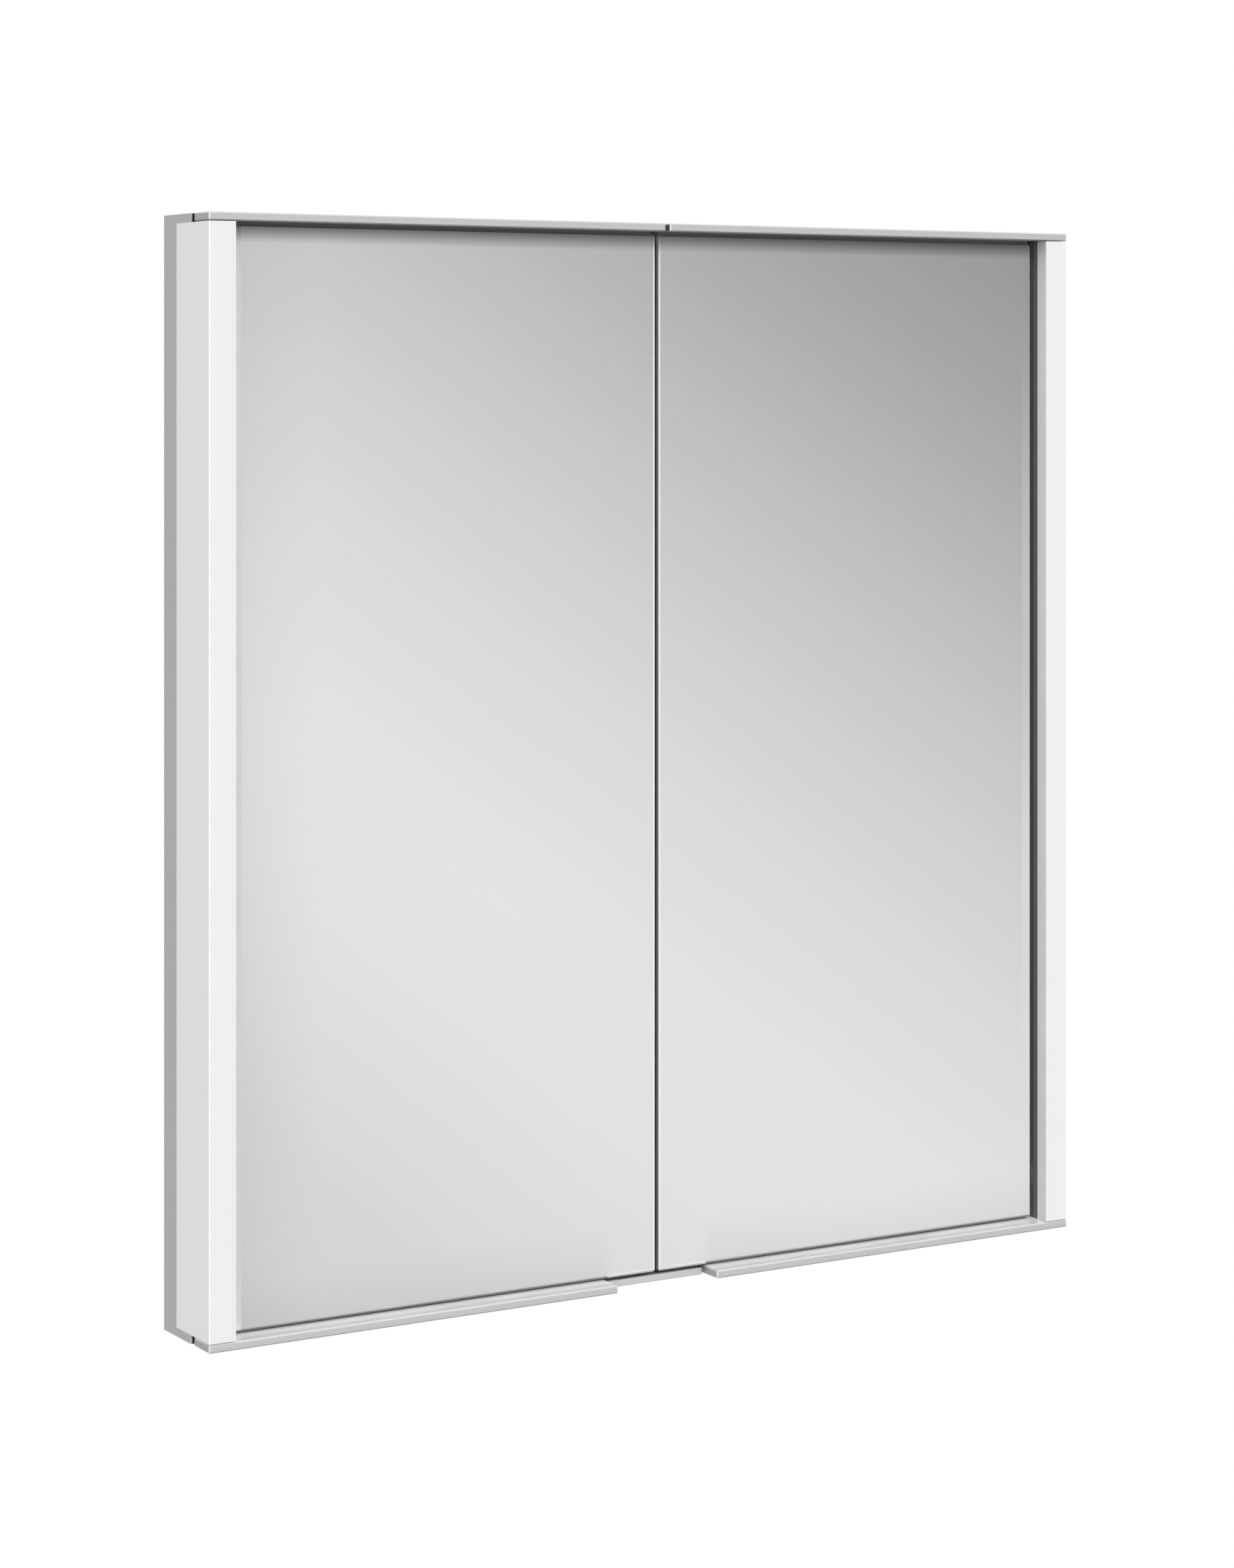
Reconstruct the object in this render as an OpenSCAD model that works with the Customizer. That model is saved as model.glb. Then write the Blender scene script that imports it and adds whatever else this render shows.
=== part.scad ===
// Medicine cabinet with two mirrored doors between two lit columns, built into a wall.
// The front frame stands on the face of the wall, and the carcass goes into the wall.
// X runs across the doors, Y into the wall and Z up. The origin is the centre of the
// wall opening, in the plane of the wall.
//
// Sub-parts are drawn from the lower left front corner: x from the left side, y from the
// front of the doors, z from the underside. Those of the right half are mirrored.

/* [Overall] */
// Width across both doors
cabinet_w = 660; // [540:5:900]
// Height of the front frame
cabinet_h = 700; // [560:5:900]
// How far the front stands out from the wall
front_d = 68; // [56:1:90]
// Depth of the carcass inside the wall
recess_d = 92; // [76:1:120]

/* [Doors] */
// Height of the profile along the top and bottom of a door
profile_h = 5.2; // [4.8:0.1:7]
// Depth of that profile, front to back
profile_d = 22.4; // [20:0.1:24]
// Gap between the profiles of the two doors
profile_gap = 3.4; // [2:0.1:6]
// Gap between the mirrors of the two doors
mirror_gap = 3; // [2:0.1:6]
// How far the mirror lies behind the front of the profile
mirror_setback = 14; // [10:0.5:16]
// Thickness of each door mirror
mirror_t = 4; // [3:0.5:6]
// Thickness of the core between the front and the rear mirror
core_t = 8; // [5:0.5:12]
// How far the core stops short of the side edges of its mirrors
core_inset = 1.2; // [0.6:0.1:2]
// Gap between a mirror and the lit column beside it
mirror_side_gap = 3.5; // [2.5:0.1:6]
// Gap between a mirror and the profile above it
mirror_top_gap = 2.4; // [1:0.1:4]
// Gap between a mirror and the profile below it
mirror_low_gap = 1.8; // [1:0.1:4]
// Width of the finger notch between the bottom profiles
notch_w = 76.6; // [50:0.1:120]
// Break on every edge of a profile
profile_edge = 0.7; // [0.2:0.1:1]

/* [Pivots] */
// Pivot axis, from the outer side of the door
pivot_x = 6; // [5.5:0.1:7]
// Pivot axis, from the front of the door
pivot_y = 9.5; // [8:0.1:10]
// Radius of a pivot pin
pin_r = 2; // [1.5:0.1:2.4]
// How far a pin goes into its door profile
pin_reach = 3.2; // [2.5:0.1:3.4]
// Outer radius of the plain bush around a pin
bush_r = 3.5; // [3:0.1:4]
// Height of the edge plates that tie a door's mirrors to its profiles
edge_plate_h = 38; // [25:1:60]

/* [Lit columns] */
// Width of a column, seen from the front
column_w = 18; // [15:0.5:24]
// Thickness of the opal cover
cover_t = 2; // [1.5:0.1:3]
// Radius on the outer front edge of the opal cover
cover_r = 0.8; // [0.4:0.1:1.2]
// Thickness of the polished channel
channel_t = 1; // [0.8:0.1:2]
// Height of the plug in each end of a column
cap_h = 10; // [8:1:16]
// Width of the light strip
strip_w = 10; // [6:1:16]
// Distance between the lights of a strip
light_pitch = 20; // [12:1:50]

/* [Frame] */
// Depth of an upright, front to back
upright_d = 19; // [14:0.5:26]
// Thickness of the side cheeks
cheek_t = 2; // [1.5:0.1:3]
// Wall of the uprights
upright_wall = 1.6; // [1.2:0.1:2.5]
// Gap between the cores of the doors and the rails behind them
rail_gap = 1.1; // [0.5:0.1:4]
// Height of the strip in the finger notch
notch_strip_h = 4.2; // [3:0.1:4.4]
// Distance from the front of the doors to the front of that strip
notch_strip_y = 15.3; // [14.5:0.1:18]
// Gap at each end of that strip
notch_strip_gap = 2.3; // [1:0.1:5]

/* [Carcass] */
// Thickness of the sheet metal
sheet_t = 2; // [1:0.1:2.5]
// Width of the folded flanges
flange_w = 12; // [8:1:16]
// Gap between the rear mirrors and the front edge of the carcass
carcass_gap = 2; // [1.5:0.1:4]
// Thickness of the mirror on the back wall
back_mirror_t = 4; // [3:0.5:6]
// Thickness of the glass shelves
shelf_t = 6; // [5:0.5:8]
// Distance between a shelf's front edge and the carcass front
shelf_setback = 10; // [6:1:25]
// Depth of the housing for the electrics
housing_d = 48; // [44:1:60]
// Height of the housing for the electrics
housing_h = 42; // [40:1:60]
// Radius of the cable bore in the gland
cable_r = 4.2; // [3:0.1:6]

/* [Fastening] */
// Radius of the holes that fasten the carcass in its wall opening
wall_hole_r = 2.5; // [2:0.1:3.5]
// Distance between those holes, front to back
wall_hole_dy = 40; // [30:1:60]
// Distance between those holes, from top to bottom
wall_hole_dz = 500; // [300:10:540]
// Radius of the frame screws
screw_r = 2; // [1.5:0.1:2.2]
// Radius of the small screws in the doors and columns
small_screw_r = 1.2; // [1:0.1:1.4]
// Radius of the rivets
rivet_r = 1.6; // [1.2:0.1:2]

/* [Hidden] */
$fn = 32;

left = 1;
right = -1;
low = 0;
high = 1;

// Clearances: a pin turning in its bush, a pressed or screwed joint, a drop-in fit
turning = 0.05;
seated = 0.02;
drop_in = 0.2;

// How far a cutting shape runs past the piece that it cuts
past = 1;

// Breaks on the edges of the glass, and of moulded and drawn pieces
glass_edge = 0.5;
fitting_edge = 0.4;
catch_edge = 0.6;
driver_edge = 1;

middle = cabinet_w / 2;

// Heights. The columns stand between the rails, and the door profiles run past their
// ends with a thin gap.
column_gap = 0.4;
rail_h = profile_h + column_gap;
column_low = rail_h;
column_high = cabinet_h - rail_h;
mirror_low = profile_h + mirror_low_gap;
mirror_high = cabinet_h - profile_h - mirror_top_gap;

// Depths behind the front of the doors
column_d = front_d - upright_d;
core_y = mirror_setback + mirror_t;
rear_mirror_y = core_y + core_t;
rail_y = rear_mirror_y + rail_gap;
door_rear_y = rear_mirror_y + mirror_t;
carcass_y = door_rear_y + carcass_gap;
back_y = front_d + recess_d - sheet_t;

// Insides of the carcass
inner_x = column_w + sheet_t;
floor_z = column_low + sheet_t;
ceiling_z = column_high - sheet_t;
housing_z = ceiling_z - housing_h;
housing_y = back_y - housing_d;

// Door panel
panel_x = column_w + mirror_side_gap;
panel_far_x = middle - mirror_gap / 2;
profile_far_x = middle - profile_gap / 2;
bottom_far_x = middle - notch_w / 2;
plate_t = core_inset;
door_screw_y = core_y + small_screw_r + drop_in;
door_screw_l = 16;
door_screw_end = 40;
door_screw_count = 4;

// Thrust washer under each top profile
washer_r = 3.8;
washer_t = 0.3;
bush_floor = 0.6;

// Lights
strip_t = 1.2;
strip_margin = 14;
light_size = 3;
light_t = 0.8;

// Upright and its screw boss
boss_r = 4;
boss_x = (cheek_t + column_w) / 2;
boss_y = front_d - upright_d / 2;
frame_screw_l = 18;
column_screw_l = 4;
pan_head_rim = 1;

// Screws of the carcass as shares of the height, and how far those of a column stand above
side_screw_z = [for (share = [0.15, 0.5, 0.85]) share * cabinet_h];
column_screw_rise = 16;

// Shelves and their clips
shelf_side_gap = 0.5;
shelf_x = inner_x + sheet_t + shelf_side_gap;
shelf_back_gap = 4;
clip_w = 16;
clip_reach = 8;
clip_lip = 3;
clip_y = [carcass_y + shelf_setback + clip_w, back_y - back_mirror_t - 2 * clip_w];
shelf_count = 2;
shelf_pitch = (housing_z - floor_z) / (shelf_count + 1);

// Electrics, with their places across the cabinet taken from its middle
driver_size = [150, 26, 20];
driver_x = -200;
driver_ear = 10;
terminal_size = [34, 18, 16];
terminal_x = -36;
terminal_poles = 3;
terminal_hole_d = 3;
terminal_rows = [0.25, 0.75];
fascia_t = 1.5;
socket_x = 110;
socket_w = 46;
socket_h = 26;
socket_d = 22;
socket_rim = 4;
recess_w = 36;
recess_h = 16;
plug_d = 12;
contact_r = 2.4;
contact_pitch = 19;
contact_d = 7;
switch_x = 180;
rocker_w = 15.8;
rocker_r = 12.7;
rocker_face = 4;
rocker_back = 3;
rocker_tilt = 7;
rocker_side_gap = 0.3;
rocker_axle_r = 1;
rocker_axle_reach = 1;
bezel_wall = 2;
bezel_rim = 2.4;
bezel_d = 15;
bezel_w = rocker_w + 2 * rocker_side_gap + 2 * bezel_wall;
bezel_h = 2 * (rocker_r + rocker_side_gap + bezel_wall);
switch_y = housing_y + 3;
gland_x = 20;
gland_r = 7;
gland_flange_r = 10;
gland_flange_t = 2.4;
gland_nut_t = 5;

// Magnet catches under the ceiling, and the plates they hold
catch_w = 30;
catch_h = 26;
catch_d = 14;
catch_inset = 12;
magnet_r = 5;
magnet_d = 4;
magnet_shares = [0.3, 0.7];
strike_t = 1.4;
strike_w = 22;
strike_h = 16;

// Fastener heads
head_share = 0.75;
hex_share = 0.6;
rivet_head_t = 0.8;
rivet_head_r = 3;
flange_end = 6;
housing_screw_shares = [-0.35, 0, 0.35];

wall_hole_y = front_d + recess_d / 2;

// Moves a shape from the corner it is drawn from to the origin's frame, on one side
module on(side) {
    mirror([side == right ? 1 : 0, 0, 0])
        translate([-middle, -front_d, -cabinet_h / 2])
            children();
}

// Turns a shape upside down about the middle height, for the pieces of the lower end
module at_end(end) {
    translate([0, 0, end == low ? cabinet_h : 0])
        mirror([0, 0, end == low ? 1 : 0])
            children();
}

// Block from one corner to the opposite one
module block(from, to) {
    translate(from) cube(to - from);
}

// Outline of a rectangle with its corners cut off at 45 degrees
function cut_rectangle(w, h, c) = [
    [c, 0], [w - c, 0], [w, c], [w, h - c], [w - c, h], [c, h], [0, h - c], [0, c]
];

// Block with every edge broken
module broken_block(from, to, c) {
    size = to - from;
    translate(from) intersection() {
        linear_extrude(size.z) polygon(cut_rectangle(size.x, size.y, c));
        rotate([90, 0, 90]) linear_extrude(size.x) polygon(cut_rectangle(size.y, size.z, c));
        translate([0, size.y, 0]) rotate([90, 0, 0])
            linear_extrude(size.y) polygon(cut_rectangle(size.x, size.z, c));
    }
}

// Height of a screw's countersunk head, which is also how far it widens
function head_h(r) = head_share * r;

// Countersunk screw that points down from the top of its head at the origin
module screw(r, length) {
    hex = hex_share * r;
    difference() {
        union() {
            translate([0, 0, -length]) cylinder(r = r, h = length);
            translate([0, 0, -head_h(r)]) cylinder(r1 = r, r2 = r + head_h(r), h = head_h(r));
        }
        translate([0, 0, -hex]) cylinder(r = hex, h = hex + past, $fn = 6);
    }
}

// Small screw with a raised head, from the underside of its head at the origin
module pan_screw() {
    translate([0, 0, channel_t - column_screw_l]) cylinder(r = small_screw_r, h = column_screw_l);
    translate([0, 0, channel_t]) cylinder(r = small_screw_r + pan_head_rim, h = head_h(screw_r));
}

// Room for a countersunk screw
module screw_hole(r, length) {
    wide = r + turning + head_h(r);
    translate([0, 0, -length]) cylinder(r = r + turning, h = length + past);
    translate([0, 0, -head_h(r)]) cylinder(r1 = r + turning, r2 = wide, h = head_h(r));
    cylinder(r = wide, h = past);
}

// Turns a shape that points down, so that it points towards the outer side
module outward() rotate([0, 90, 0]) children();

// Turns a shape that points down, so that it points into the wall
module inward() rotate([90, 0, 0]) children();

// ---- Frame ----

module side_cheek(side) color("silver") on(side) {
    rotate([90, 0, 90]) linear_extrude(cheek_t) polygon([
        [rail_y, 0], [front_d, 0], [front_d, cabinet_h], [rail_y, cabinet_h],
        [rail_y, column_high], [column_d, column_high],
        [column_d, column_low], [rail_y, column_low]
    ]);
}

module frame_screw_places() {
    for (x = [boss_x, cabinet_w - boss_x]) translate([x, boss_y, cabinet_h]) children();
}

module rail() {
    difference() {
        block([cheek_t, rail_y, column_high], [cabinet_w - cheek_t, front_d, cabinet_h]);
        frame_screw_places() screw_hole(screw_r, frame_screw_l);
    }
}

module top_rail() color("silver") on(left) rail();

module bottom_rail() color("silver") on(left) at_end(low) rail();

module notch_strip() color("gainsboro") on(left) {
    half = notch_w / 2 - notch_strip_gap;
    broken_block([middle - half, notch_strip_y, 0], [middle + half, rail_y, notch_strip_h],
                 fitting_edge);
}

module upright_section() {
    size = [column_w - cheek_t, upright_d];
    difference() {
        union() {
            difference() {
                square(size);
                translate([upright_wall, upright_wall])
                    square(size - 2 * [upright_wall, upright_wall]);
            }
            intersection() {
                square(size);
                translate(size / 2) circle(r = boss_r);
            }
            translate([0, (size.y - upright_wall) / 2]) square([size.x, upright_wall]);
        }
        translate(size / 2) circle(r = screw_r + turning);
    }
}

module upright(side) color("silver") on(side) {
    difference() {
        translate([cheek_t, column_d, column_low])
            linear_extrude(column_high - column_low) upright_section();
        column_screw_places() cylinder(r = small_screw_r + turning, h = 2 * column_screw_l, center = true);
        side_screw_places() cylinder(r = small_screw_r + turning, h = 2 * column_screw_l, center = true);
    }
}

// ---- Lit columns ----

module opal_cover(side) color("white") on(side) {
    r = cover_r;
    corner = [for (a = [180:15:270]) [r + r * cos(a), r + r * sin(a)]];
    translate([0, 0, column_low]) linear_extrude(column_high - column_low) polygon(concat(
        corner,
        [[column_w - channel_t, 0], [column_w - channel_t, cover_t], [cover_t, cover_t]],
        [[cover_t, column_d], [0, column_d]]
    ));
}

module light_channel(side) color("lightgray") on(side) {
    difference() {
        union() {
            block([column_w - channel_t, 0, column_low], [column_w, column_d, column_high]);
            block([cover_t, column_d - channel_t, column_low],
                  [column_w - channel_t, column_d, column_high]);
        }
        column_screw_places() cylinder(r = small_screw_r + turning, h = 2 * column_screw_l, center = true);
    }
}

module light_strip(side) color("lightyellow") on(side) {
    x = column_w - channel_t - strip_t;
    y = (column_d - strip_w) / 2;
    from = column_low + strip_margin;
    to = column_high - strip_margin;
    block([x, y, from], [x + strip_t, y + strip_w, to]);
    for (z = [from + light_pitch / 2:light_pitch:to - light_size])
        translate([x - light_t, y + (strip_w - light_size) / 2, z])
            cube([light_t, light_size, light_size]);
}

module column_plugs(side) color("dimgray") on(side) {
    for (end = [low, high]) at_end(end) difference() {
        block([cover_t, cover_t, column_high - cap_h],
              [column_w - channel_t, column_d - channel_t, column_high]);
        translate([pivot_x, pivot_y, column_high - cap_h - past])
            cylinder(r = pin_r + seated, h = cap_h + 2 * past);
    }
}

module pivot_pins(side) color("gray") on(side) {
    for (end = [low, high]) at_end(end)
        translate([pivot_x, pivot_y, column_high - cap_h])
            cylinder(r = pin_r, h = cap_h + column_gap + pin_reach);
}

module thrust_washers() color("ivory") {
    for (side = [left, right]) on(side)
        translate([pivot_x, pivot_y, column_high]) difference() {
            cylinder(r = washer_r, h = washer_t);
            translate([0, 0, -past]) cylinder(r = pin_r + turning, h = washer_t + 2 * past);
        }
}

// ---- Carcass ----

module column_screw_places() {
    for (z = side_screw_z)
        translate([(cover_t + column_w) / 2, column_d, z + column_screw_rise]) inward() children();
}

module side_screw_places() {
    for (z = side_screw_z) translate([inner_x, boss_y, z]) outward() children();
}

module wall_holes() {
    for (dy = [-0.5, 0.5] * wall_hole_dy, dz = [-0.5, 0.5] * wall_hole_dz)
        translate([column_w - past, wall_hole_y + dy, cabinet_h / 2 + dz])
            rotate([0, 90, 0]) cylinder(r = wall_hole_r, h = sheet_t + 2 * past);
}

module rivet_places() {
    ys = [for (share = [0, 0.5, 1]) front_d + flange_w + share * (housing_y - front_d - 2 * flange_w)];
    for (y = ys, z = [floor_z + flange_w / 2, ceiling_z - flange_w / 2])
        translate([inner_x + sheet_t, y, z]) outward() children();
    for (share = [0.25, 0.5, 0.75])
        translate([inner_x + sheet_t, back_y - flange_w / 2, share * cabinet_h]) outward() children();
}

// Hole through both sheets that a rivet joins
module rivet_hole() cylinder(r = rivet_r + seated, h = 4 * sheet_t + 2 * past, center = true);

module side_panel(side) color("gainsboro") on(side) {
    difference() {
        union() {
            block([column_w, carcass_y, floor_z], [inner_x, back_y, ceiling_z]);
            block([inner_x, carcass_y, floor_z],
                  [inner_x + flange_w, carcass_y + sheet_t, ceiling_z]);
        }
        wall_holes();
        rivet_places() rivet_hole();
        side_screw_places() screw_hole(small_screw_r, column_screw_l);
    }
}

// Ceiling sheet with a flange folded down at each end
module end_sheet() {
    difference() {
        union() {
            block([column_w, carcass_y, ceiling_z], [cabinet_w - column_w, back_y, column_high]);
            for (side = [0, 1]) translate([side * cabinet_w, 0, 0]) mirror([side, 0, 0])
                block([inner_x, carcass_y + sheet_t + flange_end, ceiling_z - flange_w],
                      [inner_x + sheet_t, housing_y - flange_end, ceiling_z]);
        }
        for (side = [0, 1]) translate([side * cabinet_w, 0, 0]) mirror([side, 0, 0])
            rivet_places() rivet_hole();
    }
}

module top_panel() color("gainsboro") on(left) difference() {
    end_sheet();
    translate([middle + gland_x, housing_y + housing_d / 2, ceiling_z - past])
        cylinder(r = gland_r + turning, h = sheet_t + 2 * past);
    housing_screw_places()
        cylinder(r = small_screw_r + turning, h = 2 * (2 * sheet_t + past), center = true);
}

module bottom_panel() color("gainsboro") on(left) at_end(low) end_sheet();

module back_panel() color("gainsboro") on(left) {
    difference() {
        union() {
            block([column_w, back_y, column_low],
                  [cabinet_w - column_w, back_y + sheet_t, column_high]);
            for (side = [0, 1]) translate([side * cabinet_w, 0, 0]) mirror([side, 0, 0])
                block([inner_x, back_y - flange_w, floor_z + flange_w + flange_end],
                      [inner_x + sheet_t, back_y, housing_z - flange_end]);
        }
        for (side = [0, 1]) translate([side * cabinet_w, 0, 0]) mirror([side, 0, 0])
            rivet_places() rivet_hole();
    }
}

module back_mirror() color("lightblue") on(left) {
    x = inner_x + 2 * sheet_t;
    block([x, back_y - back_mirror_t, floor_z + sheet_t],
          [cabinet_w - x, back_y, housing_z - sheet_t]);
}

module magnet_catches() color("dimgray") {
    for (side = [left, right]) on(side) {
        x = middle - catch_inset - catch_w;
        difference() {
            broken_block([x, carcass_y, ceiling_z - catch_h],
                         [x + catch_w, carcass_y + catch_d, ceiling_z], catch_edge);
            for (share = magnet_shares)
                translate([x + share * catch_w, carcass_y - past, ceiling_z - catch_h / 2])
                    rotate([-90, 0, 0]) cylinder(r = magnet_r + turning, h = magnet_d + past);
        }
        for (share = magnet_shares)
            translate([x + share * catch_w, carcass_y + magnet_d, ceiling_z - catch_h / 2])
                rotate([90, 0, 0]) cylinder(r = magnet_r, h = magnet_d);
    }
}

// ---- Shelves ----

function shelf_z(i) = floor_z + i * shelf_pitch;

module shelf(i) {
    broken_block([shelf_x, carcass_y + shelf_setback, shelf_z(i)],
                 [cabinet_w - shelf_x, back_y - back_mirror_t - shelf_back_gap, shelf_z(i) + shelf_t],
                 glass_edge);
}

module lower_shelf() color("lightcyan") on(left) shelf(1);

module upper_shelf() color("lightcyan") on(left) shelf(2);

module shelf_clips(side) color("gray") on(side) {
    for (i = [1:shelf_count], y = clip_y) difference() {
        broken_block([inner_x, y, shelf_z(i) - clip_lip],
                     [inner_x + clip_reach, y + clip_w, shelf_z(i) + shelf_t + clip_lip],
                     glass_edge);
        block([shelf_x - drop_in, y - past, shelf_z(i)],
              [inner_x + clip_reach + past, y + clip_w + past, shelf_z(i) + shelf_t + drop_in]);
    }
}

// ---- Electrics ----

module housing_screw_places() {
    for (x = housing_screw_shares * cabinet_w)
        translate([middle + x, housing_y - flange_w / 2, ceiling_z - sheet_t])
            mirror([0, 0, 1]) children();
}

module electrics_housing() color("whitesmoke") on(left) {
    x = inner_x + sheet_t + drop_in;
    difference() {
        union() {
            block([x, housing_y, housing_z], [cabinet_w - x, back_y, housing_z + sheet_t]);
            block([x, housing_y, housing_z], [cabinet_w - x, housing_y + sheet_t, ceiling_z]);
            block([x, housing_y - flange_w, ceiling_z - sheet_t],
                  [cabinet_w - x, housing_y, ceiling_z]);
        }
        fitting_place(socket_x) cut_out(socket_w, socket_h);
        fitting_place(switch_x) cut_out(bezel_w, bezel_h);
        housing_screw_places() screw_hole(small_screw_r, column_screw_l);
    }
}

// Centre of a fitting on the front of the housing
module fitting_place(x) {
    translate([middle + x, housing_y, housing_z + housing_h / 2]) children();
}

module cut_out(w, h) {
    block([-w / 2 - drop_in, -past, -h / 2 - drop_in],
          [w / 2 + drop_in, sheet_t + past, h / 2 + drop_in]);
}

// Outline with round ends, drilled back from the front of a fitting
module round_ended_hole(w, h, depth) {
    translate([0, -fascia_t - past, 0]) rotate([-90, 0, 0]) linear_extrude(depth + past) {
        square([w - h, h], center = true);
        for (s = [-1, 1]) translate([s * (w - h) / 2, 0]) circle(d = h);
    }
}

module socket_insert() color("white") on(left) fitting_place(socket_x) {
    difference() {
        union() {
            broken_block([-socket_w / 2 - socket_rim, -fascia_t, -socket_h / 2 - socket_rim],
                         [socket_w / 2 + socket_rim, 0, socket_h / 2 + socket_rim], fitting_edge);
            block([-socket_w / 2, 0, -socket_h / 2], [socket_w / 2, socket_d, socket_h / 2]);
        }
        round_ended_hole(recess_w, recess_h, plug_d);
        for (s = [-1, 1]) translate([s * contact_pitch / 2, plug_d - fascia_t - past, 0])
            rotate([-90, 0, 0]) cylinder(r = contact_r, h = contact_d + past);
    }
}

module switch_bezel() color("white") on(left) fitting_place(switch_x) {
    w = rocker_w / 2 + rocker_side_gap;
    h = rocker_r + rocker_side_gap;
    difference() {
        union() {
            broken_block([-bezel_w / 2 - bezel_rim, -fascia_t, -bezel_h / 2 - bezel_rim],
                         [bezel_w / 2 + bezel_rim, 0, bezel_h / 2 + bezel_rim], fitting_edge);
            block([-bezel_w / 2, 0, -bezel_h / 2], [bezel_w / 2, bezel_d, bezel_h / 2]);
        }
        block([-w, -fascia_t - past, -h], [w, bezel_d - bezel_wall, h]);
        translate([0, switch_y - housing_y, 0]) rotate([0, 90, 0])
            cylinder(r = rocker_axle_r + turning, h = 2 * (w + rocker_axle_reach), center = true);
    }
}

// Rocker with a shallow V for a face and round ends about its axle, pressed at its foot
module switch_rocker() color("white") on(left) translate([0, switch_y - housing_y, 0])
    fitting_place(switch_x) rotate([rocker_tilt, 0, 0]) {
        rise = rocker_r * tan(rocker_tilt);
        rotate([90, 0, 90]) linear_extrude(rocker_w, center = true) intersection() {
            circle(r = rocker_r);
            polygon([
                [rocker_back, -rocker_r], [rocker_back, rocker_r], [-rocker_face - rise, rocker_r],
                [-rocker_face, 0], [-rocker_face - rise, -rocker_r]
            ]);
        }
        rotate([0, 90, 0])
            cylinder(r = rocker_axle_r, h = rocker_w + 2 * (rocker_side_gap + rocker_axle_reach - turning),
                     center = true);
    }

module light_driver() color("white") on(left) {
    from = [middle + driver_x, housing_y + 2 * sheet_t + flange_end, housing_z + sheet_t];
    broken_block(from, from + driver_size, driver_edge);
    for (end = [0, 1]) difference() {
        translate(from + [end * (driver_size.x + driver_ear) - driver_ear, 0, 0])
            cube([driver_ear, driver_size.y, sheet_t]);
        translate(from + [end * (driver_size.x + driver_ear) - driver_ear / 2, driver_size.y / 2, -past])
            cylinder(r = screw_r, h = sheet_t + 2 * past);
    }
}

module terminal_block() color("ivory") on(left) {
    from = [middle + terminal_x, housing_y + 2 * sheet_t + flange_end, housing_z + sheet_t];
    pole_w = terminal_size.x / terminal_poles;
    difference() {
        translate(from) cube(terminal_size);
        for (pole = [0:terminal_poles - 1], y = terminal_rows)
            translate(from + [(pole + 0.5) * pole_w, y * terminal_size.y, terminal_size.z - terminal_hole_d])
                cylinder(r = small_screw_r + pan_head_rim, h = terminal_hole_d + past);
    }
}

module cable_gland() color("dimgray") on(left) {
    translate([middle + gland_x, housing_y + housing_d / 2, 0]) difference() {
        union() {
            translate([0, 0, ceiling_z - gland_nut_t]) cylinder(r = gland_r, h = sheet_t + gland_nut_t);
            translate([0, 0, ceiling_z - gland_nut_t])
                cylinder(r = gland_flange_r, h = gland_nut_t, $fn = 6);
            translate([0, 0, column_high]) cylinder(r = gland_flange_r, h = gland_flange_t);
        }
        translate([0, 0, ceiling_z - gland_nut_t - past])
            cylinder(r = cable_r, h = sheet_t + gland_nut_t + gland_flange_t + 2 * past);
    }
}

// ---- Fasteners of the fixed part ----

module frame_screws() color("gray") on(left) {
    for (end = [low, high]) at_end(end) frame_screw_places() screw(screw_r, frame_screw_l);
}

module column_screws() color("gray") {
    for (side = [left, right]) on(side) {
        column_screw_places() pan_screw();
        side_screw_places() screw(small_screw_r, column_screw_l);
    }
}

module rivets() color("lightgray") {
    for (side = [left, right]) on(side) rivet_places() {
        translate([0, 0, -2 * sheet_t]) cylinder(r = rivet_r, h = 2 * sheet_t);
        cylinder(r = rivet_head_r, h = rivet_head_t);
    }
}

module housing_screws() color("gray") on(left) {
    housing_screw_places() screw(small_screw_r, column_screw_l);
}

// ---- Doors ----

// Places of the screws that go down through a profile into the core
module door_screw_places(far_x) {
    step = (far_x - 2 * door_screw_end + panel_x) / (door_screw_count - 1);
    for (i = [0:door_screw_count - 1])
        translate([door_screw_end + i * step, door_screw_y, cabinet_h]) children();
}

// Profile along the top of a left door, with a blind pocket for its bush
module profile(far_x) {
    difference() {
        broken_block([0, 0, cabinet_h - profile_h], [far_x, profile_d, cabinet_h], profile_edge);
        translate([pivot_x, pivot_y, cabinet_h - profile_h - past])
            cylinder(r = bush_r + seated, h = profile_h + past - bush_floor);
        door_screw_places(far_x) screw_hole(small_screw_r, door_screw_l);
    }
}

module top_profile(side) color("silver") on(side) profile(profile_far_x);

module bottom_profile(side) color("silver") on(side) at_end(low) profile(bottom_far_x);

module bushes(side) color("ivory") on(side) {
    h = profile_h - bush_floor;
    for (end = [low, high]) at_end(end)
        translate([pivot_x, pivot_y, cabinet_h - profile_h]) difference() {
            cylinder(r = bush_r, h = h);
            translate([0, 0, -past]) cylinder(r = pin_r + turning, h = h);
        }
}

module front_mirror(side) color("lightblue") on(side)
    broken_block([panel_x, mirror_setback, mirror_low], [panel_far_x, core_y, mirror_high],
                 glass_edge);

module rear_mirror(side) color("lightblue") on(side)
    broken_block([panel_x, rear_mirror_y, mirror_low], [panel_far_x, door_rear_y, mirror_high],
                 glass_edge);

module edge_plate() {
    block([panel_x, core_y, cabinet_h - profile_h - edge_plate_h],
          [panel_x + plate_t, rear_mirror_y, cabinet_h - profile_h]);
}

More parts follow.
